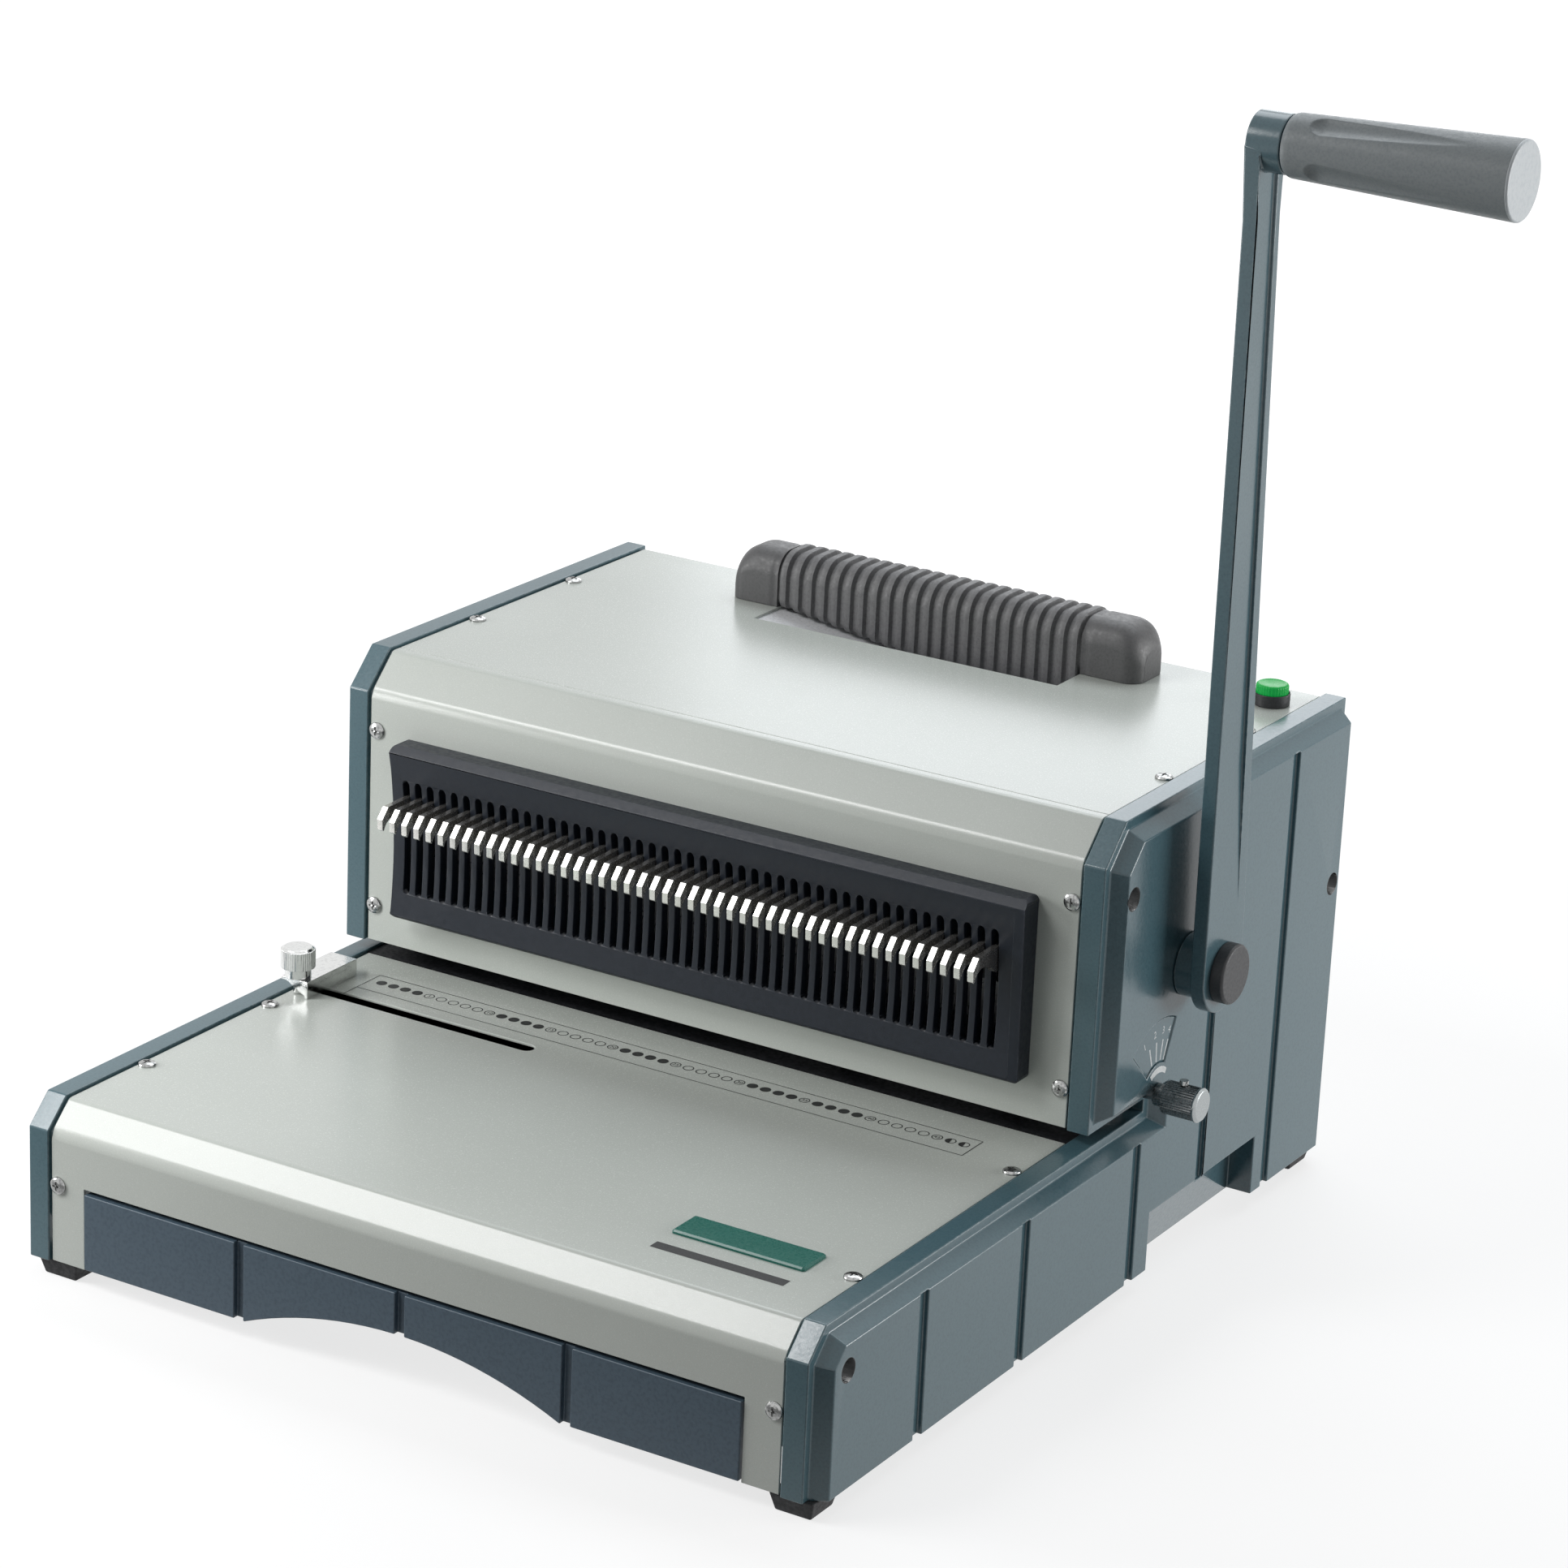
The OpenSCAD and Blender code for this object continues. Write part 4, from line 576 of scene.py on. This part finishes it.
# Printed scale on the table, as flat ink just above the paint: a frame line and a row of dots in groups of
# five, filled or hollow, with a number at the end of each group
INK_Z, FRAME_LINE = 77.06, 0.42
HOLES, HOLE_PITCH, FIRST_HOLE_X, HOLE_ROW_Y = 47, 6.35, -149.25, 192.7
DOT_R, DOT_INNER_R, HALF_DOT_R, FIGURE = 2.45, 2.0, 2.2, 3.0
GROUP, GROUP_FILLED = 5, (True, False, True, False, True, False, True, True, False)
HALF_DOTS_FROM, HALF_DOT_TURNS = 45, (100, 280)
frame_left, frame_right, frame_front, frame_back, frame_left_end = -155.2, 147.6, 182.5, 199.9, 172.4
frame_path = [(frame_left, frame_front), (frame_right, frame_front), (frame_right, frame_back),
              (frame_left, frame_back), (frame_left, frame_left_end)]
row = Print(at(0, 0, INK_Z), X, Y)
for a, b in zip(frame_path, frame_path[1:]):
    row.line(a, b, FRAME_LINE)
for i in range(HOLES):
    x, y = FIRST_HOLE_X + HOLE_PITCH * i, HOLE_ROW_Y
    half_filled = i >= HALF_DOTS_FROM
    numbered = not half_filled and i % GROUP == GROUP - 1
    if not half_filled and not numbered and GROUP_FILLED[i // GROUP]:
        row.disc(x, y, DOT_R)
        continue
    row.ring(x, y, DOT_INNER_R, DOT_R)
    if half_filled:
        row.disc(x, y, HALF_DOT_R, *HALF_DOT_TURNS)
    elif numbered:
        row.number(x, y, str(i + 1), FIGURE)
row.done("scale_print", ink, "frame", "black_plastic")

# Plain strip and bare plate on the table
BADGE_X, BADGE_HALF, BADGE_FRONT, BADGE_BACK, BADGE_CORNER = 124.2, 30.2, 48.2, 65.4, 1.2
STRIP_Y, STRIP_HALF = 35.7, 2.8
strip = Print(at(BADGE_X, STRIP_Y, INK_Z), X, Y)
strip.face([(-BADGE_HALF, -STRIP_HALF), (BADGE_HALF, -STRIP_HALF), (BADGE_HALF, STRIP_HALF),
            (-BADGE_HALF, STRIP_HALF)])
strip.done("plain_strip", ink, "frame", "black_plastic")
rings = []
for z, inset in ((77.02, 0.0), (77.9, 0.0), (78.6, 0.7)):
    corner = BADGE_CORNER - inset
    outline = section(BADGE_HALF - inset, BADGE_FRONT + inset, BADGE_BACK - inset, corner, corner)
    rings.append([at(BADGE_X + x, y, z) for x, y in outline])
place(loft("badge_plate_dressed", rings, green, smooth=30.0), "frame", "badge_green", "badge_plate")

# Dial beside the depth knob: a sunk fan with pale lines, plain figures and a pale crescent at its inner end, a
# painted highlight where the scoop's end catches the light
DIAL_X, DIAL_Y, DIAL_Z = 192.8, 263.0, 88.8
FAN_IN_R, FAN_OUT_R, FAN_FROM, FAN_TO, FAN_STEPS = 14.0, 32.5, -44.0, 24.0, 40


def from_top(r, degrees):
    """A point about the depth knob, its angle from upright towards the back."""
    a = math.radians(degrees)
    return r * math.sin(a), r * math.cos(a)


def fan(sink, grow, spread):
    """Outline of the dial's fan, at a depth below its face, grown by a width and an angle."""
    first, last = FAN_FROM - spread, FAN_TO + spread
    turns = [first + (last - first) * k / FAN_STEPS for k in range(FAN_STEPS + 1)]
    ring = [from_top(FAN_OUT_R + grow, t) for t in turns]
    ring += [from_top(FAN_IN_R - grow, t) for t in reversed(turns)]
    return [at(DIAL_X - sink, DIAL_Y + y, DIAL_Z + z) for y, z in ring]


dial_fan = loft("dial_fan", [fan(0.5, 0.1, 0.2), fan(0.15, 0.1, 0.2), fan(0.0, 0.0, 0.0)], casting)
place(dial_fan, "frame", "casting_paint", "depth_dial")

DIAL_INK_LIFT, MARK_IN_R, MARK_OUT_R, MARK_W, FIGURE_R, DIAL_FIGURE = 0.03, 14.4, 23.2, 0.85, 27.2, 4.6
dial = Print(at(DIAL_X + DIAL_INK_LIFT, DIAL_Y, DIAL_Z), Y, Z)
for turn, figure_turn, figure in ((-19.5, -27, "1"), (-4.5, -7.6, "2"), (10, 8, "3"), (21.5, 20, "4")):
    dial.line(from_top(MARK_IN_R, turn), from_top(MARK_OUT_R, turn), MARK_W)
    dial.number(*from_top(FIGURE_R, figure_turn), figure, DIAL_FIGURE, -figure_turn)
dial.done("dial_print", pale_print_and_highlight, "frame", "pale_plastic")

# Painted highlight: a pale crescent where the scoop's end catches the light
CRESCENT_X, CRESCENT_FROM, CRESCENT_TO, CRESCENT_STEPS = 193.56, -36, 40, 20
crescent = Print(at(CRESCENT_X, DIAL_Y, DIAL_Z), Y, Z)
turns = [CRESCENT_FROM + (CRESCENT_TO - CRESCENT_FROM) * k / CRESCENT_STEPS
         for k in range(CRESCENT_STEPS + 1)]
outer_edge = [from_top(11.9, t) for t in turns]
inner_edge = [(from_top(9.6, t)[0] + 0.3, from_top(8.9, t)[1] + 0.2) for t in reversed(turns)]
crescent.face(outer_edge + inner_edge)
crescent.done("dial_crescent", pale_print_and_highlight, "frame", "pale_plastic")

# The floor is white to the camera, except under the machine; metal and gloss see it white as well, except
# close to the front
FLOOR_R, FLOOR_STEPS = 9.0, 96
NEAR_WHITE, MIRROR_WHITE = 0.74, 0.75
floor_finish = Finish("floor", rgb(146, 146, 146), 0.7, Specular_IOR_Level=0.1)
floor_finish.speckle(rgb(144, 144, 144), 3.0)
tree = floor_finish.tree
far = floor_finish.ramp(floor_finish.vector("LENGTH", floor_finish.coords)["Value"], 0.6, 1.3)
behind_front = floor_finish.ramp(floor_finish.along("Y"), -0.32, -0.2)
middle = floor_finish.add("ShaderNodeMapping", Vector=floor_finish.coords, Location=(0.36, -0.2, 0),
                          Scale=(6, 6, 6))
open_floor = floor_finish.ramp(floor_finish.vector("LENGTH", middle.outputs[0])["Value"], 0.85, 1.1)
rays = tree.nodes.new("ShaderNodeLightPath").outputs
shine = math_node(tree, "MAXIMUM", rays["Is Glossy Ray"], rays["Is Transmission Ray"])
lit = math_node(tree, "MULTIPLY", open_floor, floor_finish.ramp(far, 0.0, 1.0, NEAR_WHITE, 1.0))
seen = math_node(tree, "MULTIPLY", rays["Is Camera Ray"], lit)
near_mirror = floor_finish.ramp(behind_front, 0.0, 1.0, 0.0, MIRROR_WHITE)
mirrored = math_node(tree, "MULTIPLY", shine, math_node(tree, "MAXIMUM", far, near_mirror))
glow = floor_finish.add("ShaderNodeEmission", Strength=math_node(tree, "MAXIMUM", seen, mirrored))
both = tree.nodes.new("ShaderNodeAddShader")
tree.links.new(floor_finish.bsdf.outputs[0], both.inputs[0])
tree.links.new(glow.outputs[0], both.inputs[1])
tree.links.new(both.outputs[0], tree.nodes["Material Output"].inputs["Surface"])
bm = bmesh.new()
bmesh.ops.create_circle(bm, cap_ends=True, radius=FLOOR_R, segments=FLOOR_STEPS)
floor_mesh = bpy.data.meshes.new("floor")
bm.to_mesh(floor_mesh)
bm.free()
floor_mesh.materials.append(floor_finish.mat)
floor = bpy.data.objects.new("floor", floor_mesh)
scene.collection.objects.link(floor)

# The world is white to the camera, metal and gloss, and a weak fill light to the rest
FILL = 0.13
world = bpy.data.worlds.new("studio")
scene.world = world
world.use_nodes = True
tree = world.node_tree
background = tree.nodes["Background"]
background.inputs["Color"].default_value = (1, 1, 1, 1)
rays = tree.nodes.new("ShaderNodeLightPath").outputs
shine = math_node(tree, "MAXIMUM", rays["Is Glossy Ray"], rays["Is Transmission Ray"])
plain = math_node(tree, "MAXIMUM", rays["Is Camera Ray"], shine)
tree.links.new(math_node(tree, "MULTIPLY_ADD", plain, 1 - FILL, FILL), background.inputs["Strength"])


def softbox(name, spot, target, size, power, tint=(1.0, 1.0, 1.0)):
    lamp = bpy.data.lights.new(name, "AREA")
    lamp.color = tint
    lamp.shape = "RECTANGLE"
    lamp.size, lamp.size_y = size
    lamp.energy = power
    obj = bpy.data.objects.new(name, lamp)
    obj.location = spot
    obj.rotation_euler = (Vector(target) - Vector(spot)).to_track_quat("-Z", "Y").to_euler()
    obj.visible_camera = False
    scene.collection.objects.link(obj)


# Lamps over the back, low behind, high in front at the left, and to the left and the right
COOL = (0.92, 0.96, 1.0)
softbox("back_box", (-0.1, 0.9, 1.6), (0, 0.05, 0.15), (1.8, 0.8), 13, COOL)
softbox("low_box", (-0.5, 1.4, 0.75), (0, 0.05, 0.2), (0.8, 0.7), 2.8, COOL)
softbox("key_box", (-0.93, -0.89, 1.3), (-0.93, -0.15, 0.1), (0.9, 0.45), 12)
softbox("left_box", (-0.7, -0.45, 0.3), (-0.1, -0.1, 0.1), (0.3, 0.3), 3.0)
softbox("right_box", (1.5, 0.9, 0.35), (0.1, 0, 0.15), (1.0, 0.6), 16)

# Camera at the photograph's viewing angle
AZIMUTH, ELEVATION, ROLL = (math.radians(v) for v in (-30.734, 19.114, 2.550))
EYE, FOCAL_LENGTH, SENSOR = Vector((0.95128, -1.64320, 0.86459)), 112.34, 36.0
flat = math.cos(ELEVATION)
forward = Vector((math.sin(AZIMUTH) * flat, math.cos(AZIMUTH) * flat, -math.sin(ELEVATION)))
level_right = forward.cross(Z).normalized()
level_up = level_right.cross(forward)
right_dir = math.cos(ROLL) * level_right + math.sin(ROLL) * level_up
up_dir = -math.sin(ROLL) * level_right + math.cos(ROLL) * level_up
camera_data = bpy.data.cameras.new("camera")
camera_data.sensor_fit = "HORIZONTAL"
camera_data.sensor_width = SENSOR
camera_data.lens = FOCAL_LENGTH
camera_data.clip_end = 50.0
camera = bpy.data.objects.new("camera", camera_data)
pose = Matrix((right_dir, up_dir, -forward)).transposed().to_4x4()
pose.translation = EYE
camera.matrix_world = pose
scene.collection.objects.link(camera)
scene.camera = camera
scene.view_settings.view_transform = "Standard"
